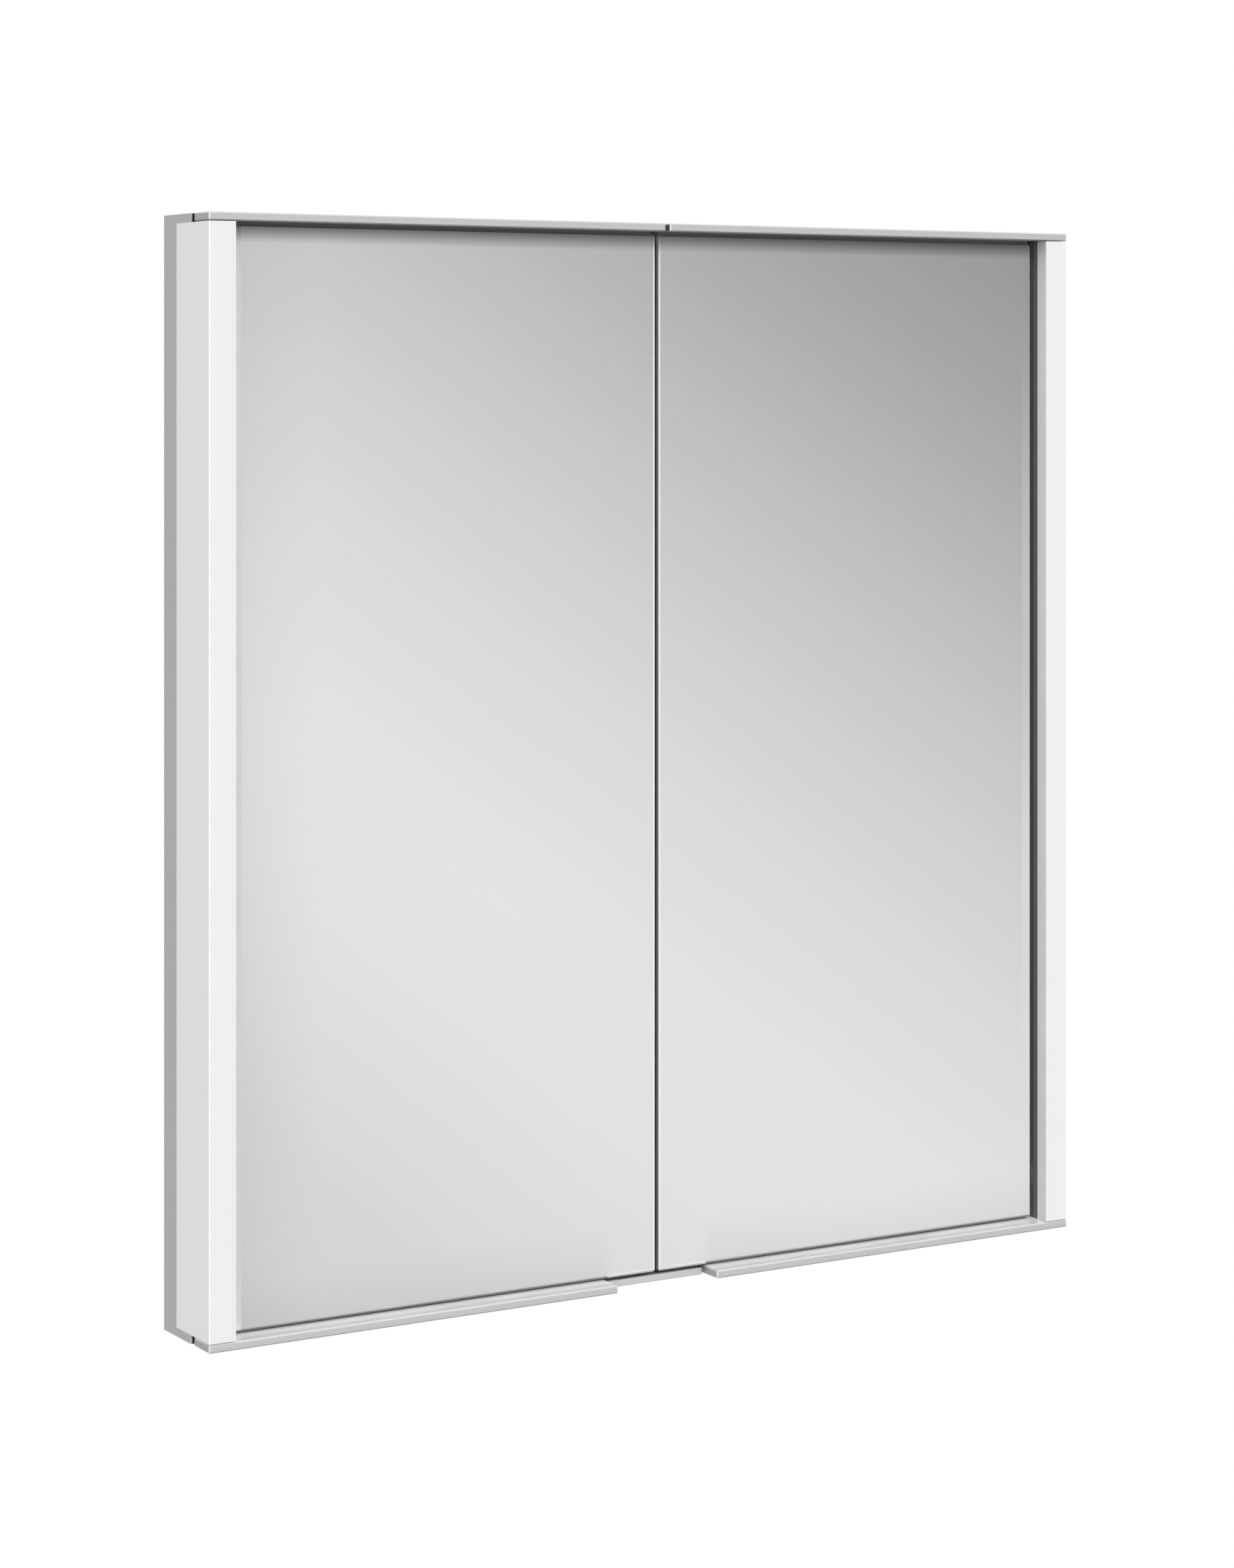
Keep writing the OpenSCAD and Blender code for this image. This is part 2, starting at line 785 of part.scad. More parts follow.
module core(side) color("dimgray") on(side) {
    difference() {
        block([panel_x + core_inset, core_y, profile_h],
              [panel_far_x - core_inset, rear_mirror_y, cabinet_h - profile_h]);
        door_screw_places(profile_far_x)
            translate([0, 0, -door_screw_l]) cylinder(r = small_screw_r + turning, h = door_screw_l);
        at_end(low) door_screw_places(bottom_far_x)
            translate([0, 0, -door_screw_l]) cylinder(r = small_screw_r + turning, h = door_screw_l);
    }
}

module edge_plates(side) color("silver") on(side) {
    for (end = [low, high]) at_end(end) edge_plate();
}

module door_screws(side) color("gray") on(side) {
    door_screw_places(profile_far_x) screw(small_screw_r, door_screw_l);
    at_end(low) door_screw_places(bottom_far_x) screw(small_screw_r, door_screw_l);
}

module strike_plate(side) color("gray") on(side) {
    x = middle - catch_inset - catch_w / 2;
    z = ceiling_z - catch_h / 2;
    block([x - strike_w / 2, door_rear_y, z - strike_h / 2],
          [x + strike_w / 2, door_rear_y + strike_t, z + strike_h / 2]);
}

side_cheek(left);  // side_cheek_left
side_cheek(right);  // side_cheek_right
top_rail();
bottom_rail();
notch_strip();
upright(left);  // upright_left
upright(right);  // upright_right
opal_cover(left);  // opal_cover_left
opal_cover(right);  // opal_cover_right
light_channel(left);  // light_channel_left
light_channel(right);  // light_channel_right
light_strip(left);  // light_strip_left
light_strip(right);  // light_strip_right
column_plugs(left);  // column_plugs_left
column_plugs(right);  // column_plugs_right
pivot_pins(left);  // pivot_pins_left
pivot_pins(right);  // pivot_pins_right
thrust_washers();
side_panel(left);  // side_panel_left
side_panel(right);  // side_panel_right
top_panel();
bottom_panel();
back_panel();
back_mirror();
lower_shelf();
upper_shelf();
shelf_clips(left);  // shelf_clips_left
shelf_clips(right);  // shelf_clips_right
electrics_housing();
light_driver();
terminal_block();
socket_insert();
switch_bezel();
switch_rocker();
cable_gland();
magnet_catches();
frame_screws();
column_screws();
rivets();
housing_screws();
top_profile(left);  // left_top_profile
bottom_profile(left);  // left_bottom_profile
front_mirror(left);  // left_front_mirror
core(left);  // left_core
rear_mirror(left);  // left_rear_mirror
edge_plates(left);  // left_edge_plates
bushes(left);  // left_bushes
door_screws(left);  // left_door_screws
strike_plate(left);  // left_strike_plate
top_profile(right);  // right_top_profile
bottom_profile(right);  // right_bottom_profile
front_mirror(right);  // right_front_mirror
core(right);  // right_core
rear_mirror(right);  // right_rear_mirror
edge_plates(right);  // right_edge_plates
bushes(right);  // right_bushes
door_screws(right);  // right_door_screws
strike_plate(right);  // right_strike_plate
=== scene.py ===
import math

import bmesh
import bpy
import numpy as np
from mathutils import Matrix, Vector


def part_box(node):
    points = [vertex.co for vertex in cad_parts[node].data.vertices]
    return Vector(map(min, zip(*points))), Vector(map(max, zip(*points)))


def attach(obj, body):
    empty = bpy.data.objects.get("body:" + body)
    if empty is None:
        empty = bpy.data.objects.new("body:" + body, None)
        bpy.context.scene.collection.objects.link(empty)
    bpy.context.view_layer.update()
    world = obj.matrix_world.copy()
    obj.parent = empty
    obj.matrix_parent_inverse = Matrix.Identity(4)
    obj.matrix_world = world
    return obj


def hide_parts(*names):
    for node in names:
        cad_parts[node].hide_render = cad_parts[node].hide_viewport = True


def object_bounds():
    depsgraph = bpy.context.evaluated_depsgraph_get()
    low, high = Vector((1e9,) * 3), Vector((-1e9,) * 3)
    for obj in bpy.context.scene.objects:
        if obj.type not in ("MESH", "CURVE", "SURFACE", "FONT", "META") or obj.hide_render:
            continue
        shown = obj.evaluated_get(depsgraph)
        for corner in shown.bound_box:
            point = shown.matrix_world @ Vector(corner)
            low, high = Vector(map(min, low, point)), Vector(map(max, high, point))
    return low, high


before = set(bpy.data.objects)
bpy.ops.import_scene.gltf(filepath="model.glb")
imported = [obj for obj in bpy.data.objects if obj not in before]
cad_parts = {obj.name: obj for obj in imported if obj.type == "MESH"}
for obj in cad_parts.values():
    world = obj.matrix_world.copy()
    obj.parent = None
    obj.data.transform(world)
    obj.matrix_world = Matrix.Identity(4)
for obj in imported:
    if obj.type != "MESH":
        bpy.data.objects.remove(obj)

cad_low, cad_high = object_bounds()
MM = 0.001


# ---- Surfaces -------------------------------------------------------------------------------

def rounded_outline(half_u, half_v, radius, per_corner=5):
    """Rectangle with round corners: a quarter circle of the radius about each of the four corner centres."""
    turn = np.arange(4)[:, None] * math.pi / 2 + np.linspace(0, math.pi / 2, per_corner)
    side_u = np.array([1, -1, -1, 1])[:, None]
    side_v = np.array([1, 1, -1, -1])[:, None]
    u = side_u * (half_u - radius) + radius * np.cos(turn)
    v = side_v * (half_v - radius) + radius * np.sin(turn)
    return np.stack([u, v], -1).reshape(-1, 2)


def loop_quads(rows, cols, closed=True):
    """Quads between neighbouring rows of points, numbered row by row; a closed row joins its end to its
    start."""
    i, j = np.meshgrid(np.arange(rows - 1), np.arange(cols if closed else cols - 1), indexing="ij")
    k = (j + 1) % cols
    return np.stack([i * cols + j, i * cols + k, (i + 1) * cols + k, (i + 1) * cols + j], -1).reshape(-1, 4)


def shell(loops):
    """Closed skin: the loops, an array of loop, point and coordinate, joined by quads, with both ends
    filled."""
    rows, cols = loops.shape[:2]
    quads = loop_quads(rows, cols).tolist()
    ends = [list(range(cols))[::-1], list(range((rows - 1) * cols, rows * cols))]
    return loops.reshape(-1, 3), quads + ends, len(quads)


def to_frame(points, axes):
    """Carries points drawn as u, v, w to x, y, z; axes says which axis each of the three runs along."""
    order = [axes.index(a) for a in "xyz"]
    return points[..., order]


def edged_plate(low, high, axes, corner, steps, per_corner=5):
    """Plate between two corners. Its outline is a rounded rectangle across u and v, and each step
    (inset, share) draws it in by the inset at that share of the thickness along w."""
    low_uvw = np.array([low["xyz".index(a)] for a in axes])
    high_uvw = np.array([high["xyz".index(a)] for a in axes])
    centre = (low_uvw + high_uvw) / 2
    half = (high_uvw - low_uvw) / 2
    loops = []
    for inset, share in steps:
        ring = rounded_outline(half[0] - inset, half[1] - inset, max(corner - inset, 0.05 * MM), per_corner)
        depth = np.full(len(ring), low_uvw[2] + share * 2 * half[2])
        loops.append(np.column_stack([ring + centre[:2], depth]))
    return shell(to_frame(np.array(loops), axes))


def extrusion(section, low, high, axes):
    """A closed section, drawn in u and v, carried along w from low to high."""
    ends = [np.column_stack([section, np.full(len(section), w)]) for w in (low, high)]
    return shell(to_frame(np.array(ends), axes))


def turning(profile, centre, axes, sides=32, ribs=0, rib_depth=0.0):
    """A profile of (radius, height) turned about w through the centre; ribs is how often the radius
    swells by the rib depth on the way round, on the points whose third value is 1."""
    angle = np.linspace(0, 2 * math.pi, sides, endpoint=False)
    swell = 1 - rib_depth * (0.5 - 0.5 * np.cos(ribs * angle)) * profile[:, 2:3]
    radius = profile[:, 0:1] * swell
    u = centre[0] + radius * np.cos(angle)
    v = centre[1] + radius * np.sin(angle)
    w = centre[2] + np.repeat(profile[:, 1:2], sides, 1)
    return shell(to_frame(np.stack([u, v, w], -1), axes))


def pressed_sheet(low, high, front, groove, columns, rows):
    """Upright sheet with a flat front at the given depth. Its rear face lies at the highest y less the
    groove, a function of x and z."""
    x = np.linspace(low[0], high[0], columns)
    z = np.linspace(low[2], high[2], rows)
    grid_z, grid_x = np.meshgrid(z, x, indexing="ij")
    rear = np.stack([grid_x, high[1] - groove(grid_x, grid_z), grid_z], -1).reshape(-1, 3)
    quads = loop_quads(rows, columns, closed=False)
    last = (rows - 1) * columns
    border = np.concatenate([
        np.arange(columns), np.arange(2 * columns - 1, rows * columns, columns),
        np.arange(rows * columns - 2, last - 1, -1), np.arange(last - columns, 0, -columns)])
    flat = rear[border].copy()
    flat[:, 1] = front
    start, count = len(rear), len(border)
    along = np.arange(count)
    after = (along + 1) % count
    sides = np.stack([border, border[after], start + after, start + along], -1)
    faces = quads.tolist() + sides.tolist() + [list(range(start, start + count))]
    return np.concatenate([rear, flat]), faces, len(faces)


SMOOTH_BELOW = 32
WELD = 0.002 * MM


def make_piece(name, parts, materials, body, stands_for=()):
    """Joins parts of (points, faces, number of side faces) into one mesh. Each part names the material
    of its sides and of its ends. Edges sharper than SMOOTH_BELOW degrees stay sharp."""
    points, faces, tones = [], [], []
    start = 0
    for (part_points, part_faces, side_count), side_tone, shaded_end_tone in parts:
        points.append(part_points)
        faces += [[index + start for index in face] for face in part_faces]
        tones += [side_tone] * side_count + [shaded_end_tone] * (len(part_faces) - side_count)
        start += len(part_points)
    mesh = bpy.data.meshes.new(name)
    mesh.from_pydata(np.concatenate(points).tolist(), [], faces)
    mesh.polygons.foreach_set("material_index", tones)
    for material in materials:
        mesh.materials.append(material)
    shape = bmesh.new()
    shape.from_mesh(mesh)
    bmesh.ops.remove_doubles(shape, verts=shape.verts, dist=WELD)
    bmesh.ops.recalc_face_normals(shape, faces=shape.faces)
    shape.to_mesh(mesh)
    shape.free()
    mesh.shade_smooth()
    mesh.set_sharp_from_angle(angle=math.radians(SMOOTH_BELOW))
    piece = bpy.data.objects.new(name, mesh)
    bpy.context.scene.collection.objects.link(piece)
    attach(piece, body)
    if stands_for:
        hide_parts(*stands_for)


# ---- Shader groups --------------------------------------------------------------------------

def add(tree, kind, **settings):
    """A node of that kind with its settings."""
    made = tree.nodes.new(kind)
    for key, value in settings.items():
        setattr(made, key, value)
    return made


def feed(tree, socket, value):
    """Gives a socket a value, or links it to another socket."""
    if isinstance(value, bpy.types.NodeSocket):
        tree.links.new(value, socket)
    else:
        socket.default_value = value


def calc(tree, operation, first, second=0.0, clamp=False):
    """Result of one sum on two values or sockets."""
    made = add(tree, "ShaderNodeMath", operation=operation, use_clamp=clamp)
    feed(tree, made.inputs[0], first)
    feed(tree, made.inputs[1], second)
    return made.outputs[0]


def ease(tree, value, start, end, low=0.0, high=1.0):
    """Value carried smoothly from low to high as it goes from start to end."""
    made = add(tree, "ShaderNodeMapRange", interpolation_type="SMOOTHSTEP")
    for index, item in enumerate((value, start, end, low, high)):
        feed(tree, made.inputs[index], item)
    return made.outputs[0]


def blend_colours(tree, share, first, second):
    """First colour at share 0 and the second at share 1."""
    made = add(tree, "ShaderNodeMix", data_type="RGBA")
    feed(tree, made.inputs[0], share)
    feed(tree, made.inputs[6], first)
    feed(tree, made.inputs[7], second)
    return made.outputs[2]


def noise(tree, place, scale, detail=3.0, roughness=0.5):
    """Fractal noise at a place, with its scale given per metre."""
    made = add(tree, "ShaderNodeTexNoise")
    for label, value in (("Vector", place), ("Scale", scale), ("Detail", detail), ("Roughness", roughness)):
        feed(tree, made.inputs[label], value)
    return made.outputs[0]


def coordinate(tree, vector, name):
    """One coordinate, X, Y or Z, of a vector."""
    parts = add(tree, "ShaderNodeSeparateXYZ")
    feed(tree, parts.inputs[0], vector)
    return parts.outputs["XYZ".index(name)]


def object_place(tree):
    """Place of each point on its own object."""
    return add(tree, "ShaderNodeTexCoord").outputs["Object"]


def tone_ramp(tree, value, interpolation, tones):
    """Grey that runs through a list of (position, tone) as the value goes from 0 to 1."""
    ramp = add(tree, "ShaderNodeValToRGB")
    stops = ramp.color_ramp
    stops.interpolation = interpolation
    while len(stops.elements) > 1:
        stops.elements.remove(stops.elements[-1])
    for index, (position, tone) in enumerate(tones):
        stop = stops.elements[0] if index == 0 else stops.elements.new(position)
        stop.position = position
        stop.color = grey(tone)
    feed(tree, ramp.inputs[0], value)
    return ramp.outputs[0]


def grey(value, warmth=0.0):
    """Neutral colour, a little warmer or cooler."""
    return (value * (1 + warmth), value, value * (1 - warmth), 1.0)


def start_group(name, inputs, outputs):
    """Empty group with named inputs (name, kind, value) and outputs (name, kind)."""
    group = bpy.data.node_groups.new(name, "ShaderNodeTree")
    for label, kind, value in inputs:
        socket = group.interface.new_socket(name=label, in_out="INPUT", socket_type=kind)
        if value is not None:
            socket.default_value = value
    for label, kind in outputs:
        group.interface.new_socket(name=label, in_out="OUTPUT", socket_type=kind)
    return group, add(group, "NodeGroupInput"), add(group, "NodeGroupOutput")


def drawn_lines_group():
    """Fine lines that the die leaves along an extrusion: noise drawn out along its length."""
    group, given, result = start_group(
        "drawn_lines",
        [("Place", "NodeSocketVector", None), ("Stretch", "NodeSocketVector", (1, 1, 1))],
        [("Lines", "NodeSocketFloat"), ("Bands", "NodeSocketFloat")])
    stretched = add(group, "ShaderNodeVectorMath", operation="MULTIPLY")
    feed(group, stretched.inputs[0], given.outputs["Place"])
    feed(group, stretched.inputs[1], given.outputs["Stretch"])
    feed(group, result.inputs["Lines"], noise(group, stretched.outputs[0], 1.0, 4.0, 0.62))
    feed(group, result.inputs["Bands"], noise(group, stretched.outputs[0], 0.17, 2.0))
    return group


def soft_cloud_group():
    """Value that drifts between Low and High in soft patches, as a finish does over a large face."""
    group, given, result = start_group(
        "soft_cloud",
        [("Place", "NodeSocketVector", None), ("Size", "NodeSocketFloat", 0.05),
         ("Low", "NodeSocketFloat", 0.3), ("High", "NodeSocketFloat", 0.4)],
        [("Value", "NodeSocketFloat")])
    cloud = noise(group, given.outputs["Place"], calc(group, "DIVIDE", 1.0, given.outputs["Size"]))
    value = ease(group, cloud, 0.3, 0.7, given.outputs["Low"], given.outputs["High"])
    feed(group, result.inputs["Value"], value)
    return group


def edge_wear_and_highlight_group():
    """Mask of the sharp edges: how far the rounded normal leans away from the face's own. Its tone stands
    for wear, and on the satin extrusions also for a painted highlight.
    """
    group, given, result = start_group(
        "edge_wear_and_highlight",
        [("Width", "NodeSocketFloat", 0.0006), ("Place", "NodeSocketVector", None)],
        [("Mask", "NodeSocketFloat")])
    rounded = add(group, "ShaderNodeBevel", samples=4)
    feed(group, rounded.inputs["Radius"], given.outputs["Width"])
    face = add(group, "ShaderNodeNewGeometry")
    lean = add(group, "ShaderNodeVectorMath", operation="DOT_PRODUCT")
    feed(group, lean.inputs[0], rounded.outputs[0])
    feed(group, lean.inputs[1], face.outputs["Normal"])
    edge = ease(group, lean.outputs["Value"], 0.995, 0.80)
    rub = noise(group, given.outputs["Place"], 90.0)
    worn = calc(group, "MULTIPLY", edge, ease(group, rub, 0.25, 0.6, 0.55, 1.0))
    feed(group, result.inputs["Mask"], worn)
    return group


def settled_dust_group():
    """Mask of fine dust, which lies in patches on the faces that look up."""
    group, given, result = start_group(
        "settled_dust",
        [("Place", "NodeSocketVector", None), ("Amount", "NodeSocketFloat", 0.2)],
        [("Mask", "NodeSocketFloat")])
    face = add(group, "ShaderNodeNewGeometry")
    upward = ease(group, coordinate(group, face.outputs["Normal"], "Z"), 0.6, 0.98)
    share = ease(group, noise(group, given.outputs["Place"], 45.0, 8.0, 0.7), 0.35, 0.75)
    mask = calc(group, "MULTIPLY", calc(group, "MULTIPLY", upward, share), given.outputs["Amount"])
    feed(group, result.inputs["Mask"], mask)
    return group


def edge_shade_group():
    """Share of light left beside an overhanging edge: from Deepest at the edge to one at Reach from it."""
    group, given, result = start_group(
        "edge_shade",
        [("Distance", "NodeSocketFloat", 0.0), ("Reach", "NodeSocketFloat", 0.01),
         ("Deepest", "NodeSocketFloat", 0.3), ("Curve", "NodeSocketFloat", 1.2)],
        [("Share", "NodeSocketFloat")])
    along = calc(group, "DIVIDE", given.outputs["Distance"], given.outputs["Reach"], clamp=True)
    rise = calc(group, "POWER", along, given.outputs["Curve"])
    room = calc(group, "SUBTRACT", 1.0, given.outputs["Deepest"])
    share = calc(group, "ADD", given.outputs["Deepest"], calc(group, "MULTIPLY", rise, room))
    feed(group, result.inputs["Share"], share)
    return group


DRAWN_LINES = drawn_lines_group()
SOFT_CLOUD = soft_cloud_group()
EDGE_WEAR_AND_HIGHLIGHT = edge_wear_and_highlight_group()
SETTLED_DUST = settled_dust_group()
EDGE_SHADE = edge_shade_group()


class Finish:
    """A material under construction: its tree, its shader and the place of each point on the object."""

    def __init__(self, name):
        self.material = bpy.data.materials.new(name)
        self.material.use_nodes = True
        self.tree = self.material.node_tree
        self.tree.nodes.clear()
        self.shader = add(self.tree, "ShaderNodeBsdfPrincipled")
        out = add(self.tree, "ShaderNodeOutputMaterial")
        self.tree.links.new(self.shader.outputs[0], out.inputs["Surface"])
        self.place = object_place(self.tree)

    def set(self, **values):
        """Sets or links sockets of the shader; an underscore stands for a space in a socket's name."""
        for label, value in values.items():
            feed(self.tree, self.shader.inputs[label.replace("_", " ")], value)

    def group(self, group, **values):
        """Outputs of a shared group, placed in this material with its own values and the object's place."""
        made = add(self.tree, "ShaderNodeGroup", node_tree=group)
        if "Place" in made.inputs:
            values["Place"] = self.place
        for label, value in values.items():
            feed(self.tree, made.inputs[label], value)
        return made.outputs

    def axis(self, name):
        """Place along an axis of the object."""
        return coordinate(self.tree, self.place, name)

    def lean(self, name):
        """How far the face leans towards an axis of the object."""
        return coordinate(self.tree, add(self.tree, "ShaderNodeTexCoord").outputs["Normal"], name)

    def facing(self, name):
        """One on the faces that look along an axis of the object, either way, and zero on the others."""
        return ease(self.tree, calc(self.tree, "ABSOLUTE", self.lean(name)), 0.75, 0.95)

    def looking_up(self):
        """One on the faces that look up."""
        return ease(self.tree, self.lean("Z"), 0.75, 0.95)

    def upright_corner(self):
        """One on the faces that stand upright and look between the side and the front."""
        both = calc(self.tree, "ABSOLUTE", calc(self.tree, "MULTIPLY", self.lean("X"), self.lean("Y")))
        return ease(self.tree, both, 0.2, 0.42)

    def from_middle(self):
        """Distance from the middle plane between the doors."""
        return calc(self.tree, "ABSOLUTE", self.axis("X"))

    def by_notch(self, outside=0.0, inside=1.0, start=0.0, end=-0.5 * MM):
        """Outside value beyond the finger notch and inside value in it. The change runs between start and
        end, both measured outwards from the side of the notch."""
        return ease(self.tree, self.from_middle(), NOTCH_HALF + start, NOTCH_HALF + end, outside, inside)

    def bump(self, height, distance, normal=None):
        """Normal tilted by a height of up to the distance."""
        made = add(self.tree, "ShaderNodeBump")
        feed(self.tree, made.inputs["Height"], height)
        made.inputs["Distance"].default_value = distance
        made.inputs["Strength"].default_value = 1.0
        if normal is not None:
            feed(self.tree, made.inputs["Normal"], normal)
        return made.outputs[0]

    def noise(self, scale, detail=3.0, roughness=0.5):
        """Fractal noise over the object."""
        return noise(self.tree, self.place, scale, detail, roughness)

    def dimmed(self, colour, share):
        """Colour times a share of light."""
        made = add(self.tree, "ShaderNodeVectorMath", operation="SCALE")
        feed(self.tree, made.inputs[0], colour)
        feed(self.tree, made.inputs["Scale"], share)
        return made.outputs[0]


# ---- Finishes -------------------------------------------------------------------------------

# How strongly the fronts of the door profiles are rounded, as height lost per square metre
CROWN = 13.5

# Half the width of the finger notch, how far the inner side of each door mirror lies from the middle, and
# the width of the painted highlight rim along the mirrors' lower edge in the notch
NOTCH_HALF = -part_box("left_bottom_profile")[1][0]
INNER_SIDE = -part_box("left_front_mirror")[1][0]
LOW_HIGHLIGHT_RIM = 2.0 * MM

# Width over which a mask of a rim or a lining changes
SOFT_LINE = 0.1 * MM

# Light kept beside the parts that stand over the door mirrors
UNDER_TOP_PROFILE = {"Reach": 10.4 * MM, "Deepest": 0.25, "Curve": 1.15}
EDGE_UNDER_TOP_PROFILE = {"Reach": 14 * MM, "Deepest": 0.14, "Curve": 1.15}
CLOSE_OVER_LOW_PROFILE = {"Reach": 1.6 * MM, "Curve": 1.6}
SOFT_OVER_LOW_PROFILE = {"Reach": 36 * MM, "Curve": 0.6}
BESIDE_COLUMN = {"Reach": 60 * MM, "Deepest": 0.86, "Curve": 0.5}

ALONG_X = (40.0, 2600.0, 2600.0)
ALONG_Z = (2600.0, 2600.0, 40.0)


def painted_light_on_ends_and_faces(made, base, tone, end_shade_share, upper, lower):
    """Painted light and shade on a short extrusion: its cut ends, with fine saw marks, darker, and darker
    still in the gap between the doors; its faces that look up lighter and those that look down darker;
    and a painted highlight on its rounded upright corner."""
    tree = made.tree
    marks = made.noise(1900.0, 3.0, 0.6)
    end = calc(tree, "MULTIPLY", made.facing("X"), ease(tree, marks, 0.3, 0.7, 0.85, 1.0))
    # Painted shadow: the cut ends in the gap between the doors are darker still
    out_of_gap = ease(tree, made.from_middle(), 3 * MM, 8 * MM)
    shaded_end_tone = blend_colours(tree, out_of_gap, grey(tone * end_shade_share * 0.25), grey(tone * end_shade_share))
    base = blend_colours(tree, end, base, shaded_end_tone)
    # Painted light on the faces that look up, painted shade on those that look down
    base = blend_colours(tree, made.looking_up(), base, grey(min(1, tone * upper)))
    down = ease(tree, made.lean("Z"), -0.45, -0.68)
    base = blend_colours(tree, down, base, grey(tone * lower))
    # Painted highlight on the rounded upright corner
    return blend_colours(tree, made.upright_corner(), base, grey(0.97))


def painted_gap_shadow(made, base, depth, reach):
    """Painted black shadow on the front edge up to a depth, within a reach from the middle."""
    tree = made.tree
    in_front = ease(tree, made.axis("Y"), depth, depth - SOFT_LINE)
    within = ease(tree, made.from_middle(), reach + SOFT_LINE, reach)
    return blend_colours(tree, calc(tree, "MULTIPLY", in_front, within), base, grey(0.03))


def painted_ledge_light(made, ledge):
    """Painted light, glowing on the top face of a low profile, for the light that the mirror throws back;
    stronger towards the glass.
    """
    tree = made.tree
    near_glass = ease(tree, made.axis("Y"), ledge + 3 * MM, ledge + 14 * MM, 0.0, 0.27)
    lower_half = ease(tree, made.axis("Z"), 1 * MM, -1 * MM)
    painted_glow = calc(tree, "MULTIPLY", calc(tree, "MULTIPLY", made.looking_up(), lower_half), near_glass)
    return blend_colours(tree, painted_glow, grey(0.0), grey(1.0))


def satin_aluminium(name, stretch, tone, edge_wear_and_highlight_tone, low, high, metal=1.0, end_shade_share=None, crown=None, front=None,
                    gap_shadow=None, upper=1.0, lower=1.0, ledge=None):
    """Satin anodised extrusion: die lines lengthways, soft patches, a little dust, and rubbed edges made
    brighter still as a painted highlight. The end share, upper and lower are shares of the tone: painted
    shade on its cut ends, painted light on its faces that look up and painted shade on those that look
    down. Crown is the height about which its front is rounded, front the depth and tone of a strip painted
    along its front edge, light as a highlight or dark as a shadow, the gap shadow the depth and reach of a
    painted black shadow there, and ledge the front of a low profile, whose top face then glows with
    painted light, stronger towards the glass."""
    made = Finish(name)
    tree = made.tree
    lines = made.group(DRAWN_LINES, Stretch=stretch)
    cloud = made.group(SOFT_CLOUD, Size=0.06, Low=low, High=high)
    edge = made.group(EDGE_WEAR_AND_HIGHLIGHT, Width=0.5 * MM)
    dust = made.group(SETTLED_DUST, Amount=0.25)
    base = blend_colours(tree, lines["Lines"], grey(tone * 0.94), grey(min(tone * 1.05, 1)))
    # Rubbed edges, brightened further as a painted highlight
    base = blend_colours(tree, edge["Mask"], base, grey(edge_wear_and_highlight_tone))
    base = blend_colours(tree, dust["Mask"], base, grey(0.62, 0.02))
    if end_shade_share is not None:
        base = painted_light_on_ends_and_faces(made, base, tone, end_shade_share, upper, lower)
    # Painted strip along the front edge: a highlight when its tone is light, a shadow when dark
    if front is not None:
        depth, painted_strip_tone = front
        strip = ease(tree, made.axis("Y"), depth, depth - 0.2 * MM)
        base = blend_colours(tree, strip, base, grey(painted_strip_tone))
    # Painted black shadow on the front edge near the door profiles
    if gap_shadow is not None:
        base = painted_gap_shadow(made, base, *gap_shadow)
    rough = calc(tree, "ADD", cloud["Value"], calc(tree, "MULTIPLY", lines["Bands"], 0.06))
    rough = calc(tree, "SUBTRACT", rough, calc(tree, "MULTIPLY", edge["Mask"], 0.10))
    rough = calc(tree, "ADD", rough, calc(tree, "MULTIPLY", dust["Mask"], 0.4), clamp=True)
    normal = made.bump(lines["Lines"], 0.004 * MM)
    # Painted light: the top face of a low profile glows, stronger towards the glass
    if ledge is not None:
        made.set(Emission_Color=painted_ledge_light(made, ledge), Emission_Strength=1.0)
    if crown is not None:
        off = calc(tree, "SUBTRACT", calc(tree, "ABSOLUTE", made.axis("Z")), crown)
        arch = calc(tree, "MULTIPLY", calc(tree, "MULTIPLY", off, off), -CROWN)
        normal = made.bump(arch, 1.0, normal)
    made.set(Base_Color=base, Roughness=rough, Metallic=metal, Normal=normal)
    return made.material


def opal_acrylic(name):
    """Opal cover: milky, evenly lit through, with a fine pull along its length, a soft gloss, and a painted
    highlight, lighter and glowing, on its rounded upright corner.
    """
    made = Finish(name)
    tree = made.tree
    lines = made.group(DRAWN_LINES, Stretch=(900.0, 900.0, 12.0))
    cloud = made.group(SOFT_CLOUD, Size=0.09, Low=0.34, High=0.42)
    milk = made.noise(30.0, 2.0)
    base = blend_colours(tree, milk, (0.925, 0.928, 0.93, 1), (0.945, 0.945, 0.942, 1))
    base = blend_colours(tree, calc(tree, "MULTIPLY", lines["Bands"], 0.25), base, grey(0.91))
    # Painted highlight on the rounded upright corner: lighter and glowing
    corner = made.upright_corner()
    base = blend_colours(tree, corner, base, grey(0.98))
    painted_glow = blend_colours(tree, corner, grey(0.0), grey(0.16))
    normal = made.bump(lines["Lines"], 0.003 * MM)
    made.set(Base_Color=base, Roughness=cloud["Value"], Normal=normal, Emission_Color=painted_glow)
    made.set(Emission_Strength=1.0)
    made.set(Subsurface_Weight=0.25, Subsurface_Scale=0.002, Subsurface_Radius=(1.0, 0.98, 0.95), IOR=1.49)
    return made.material


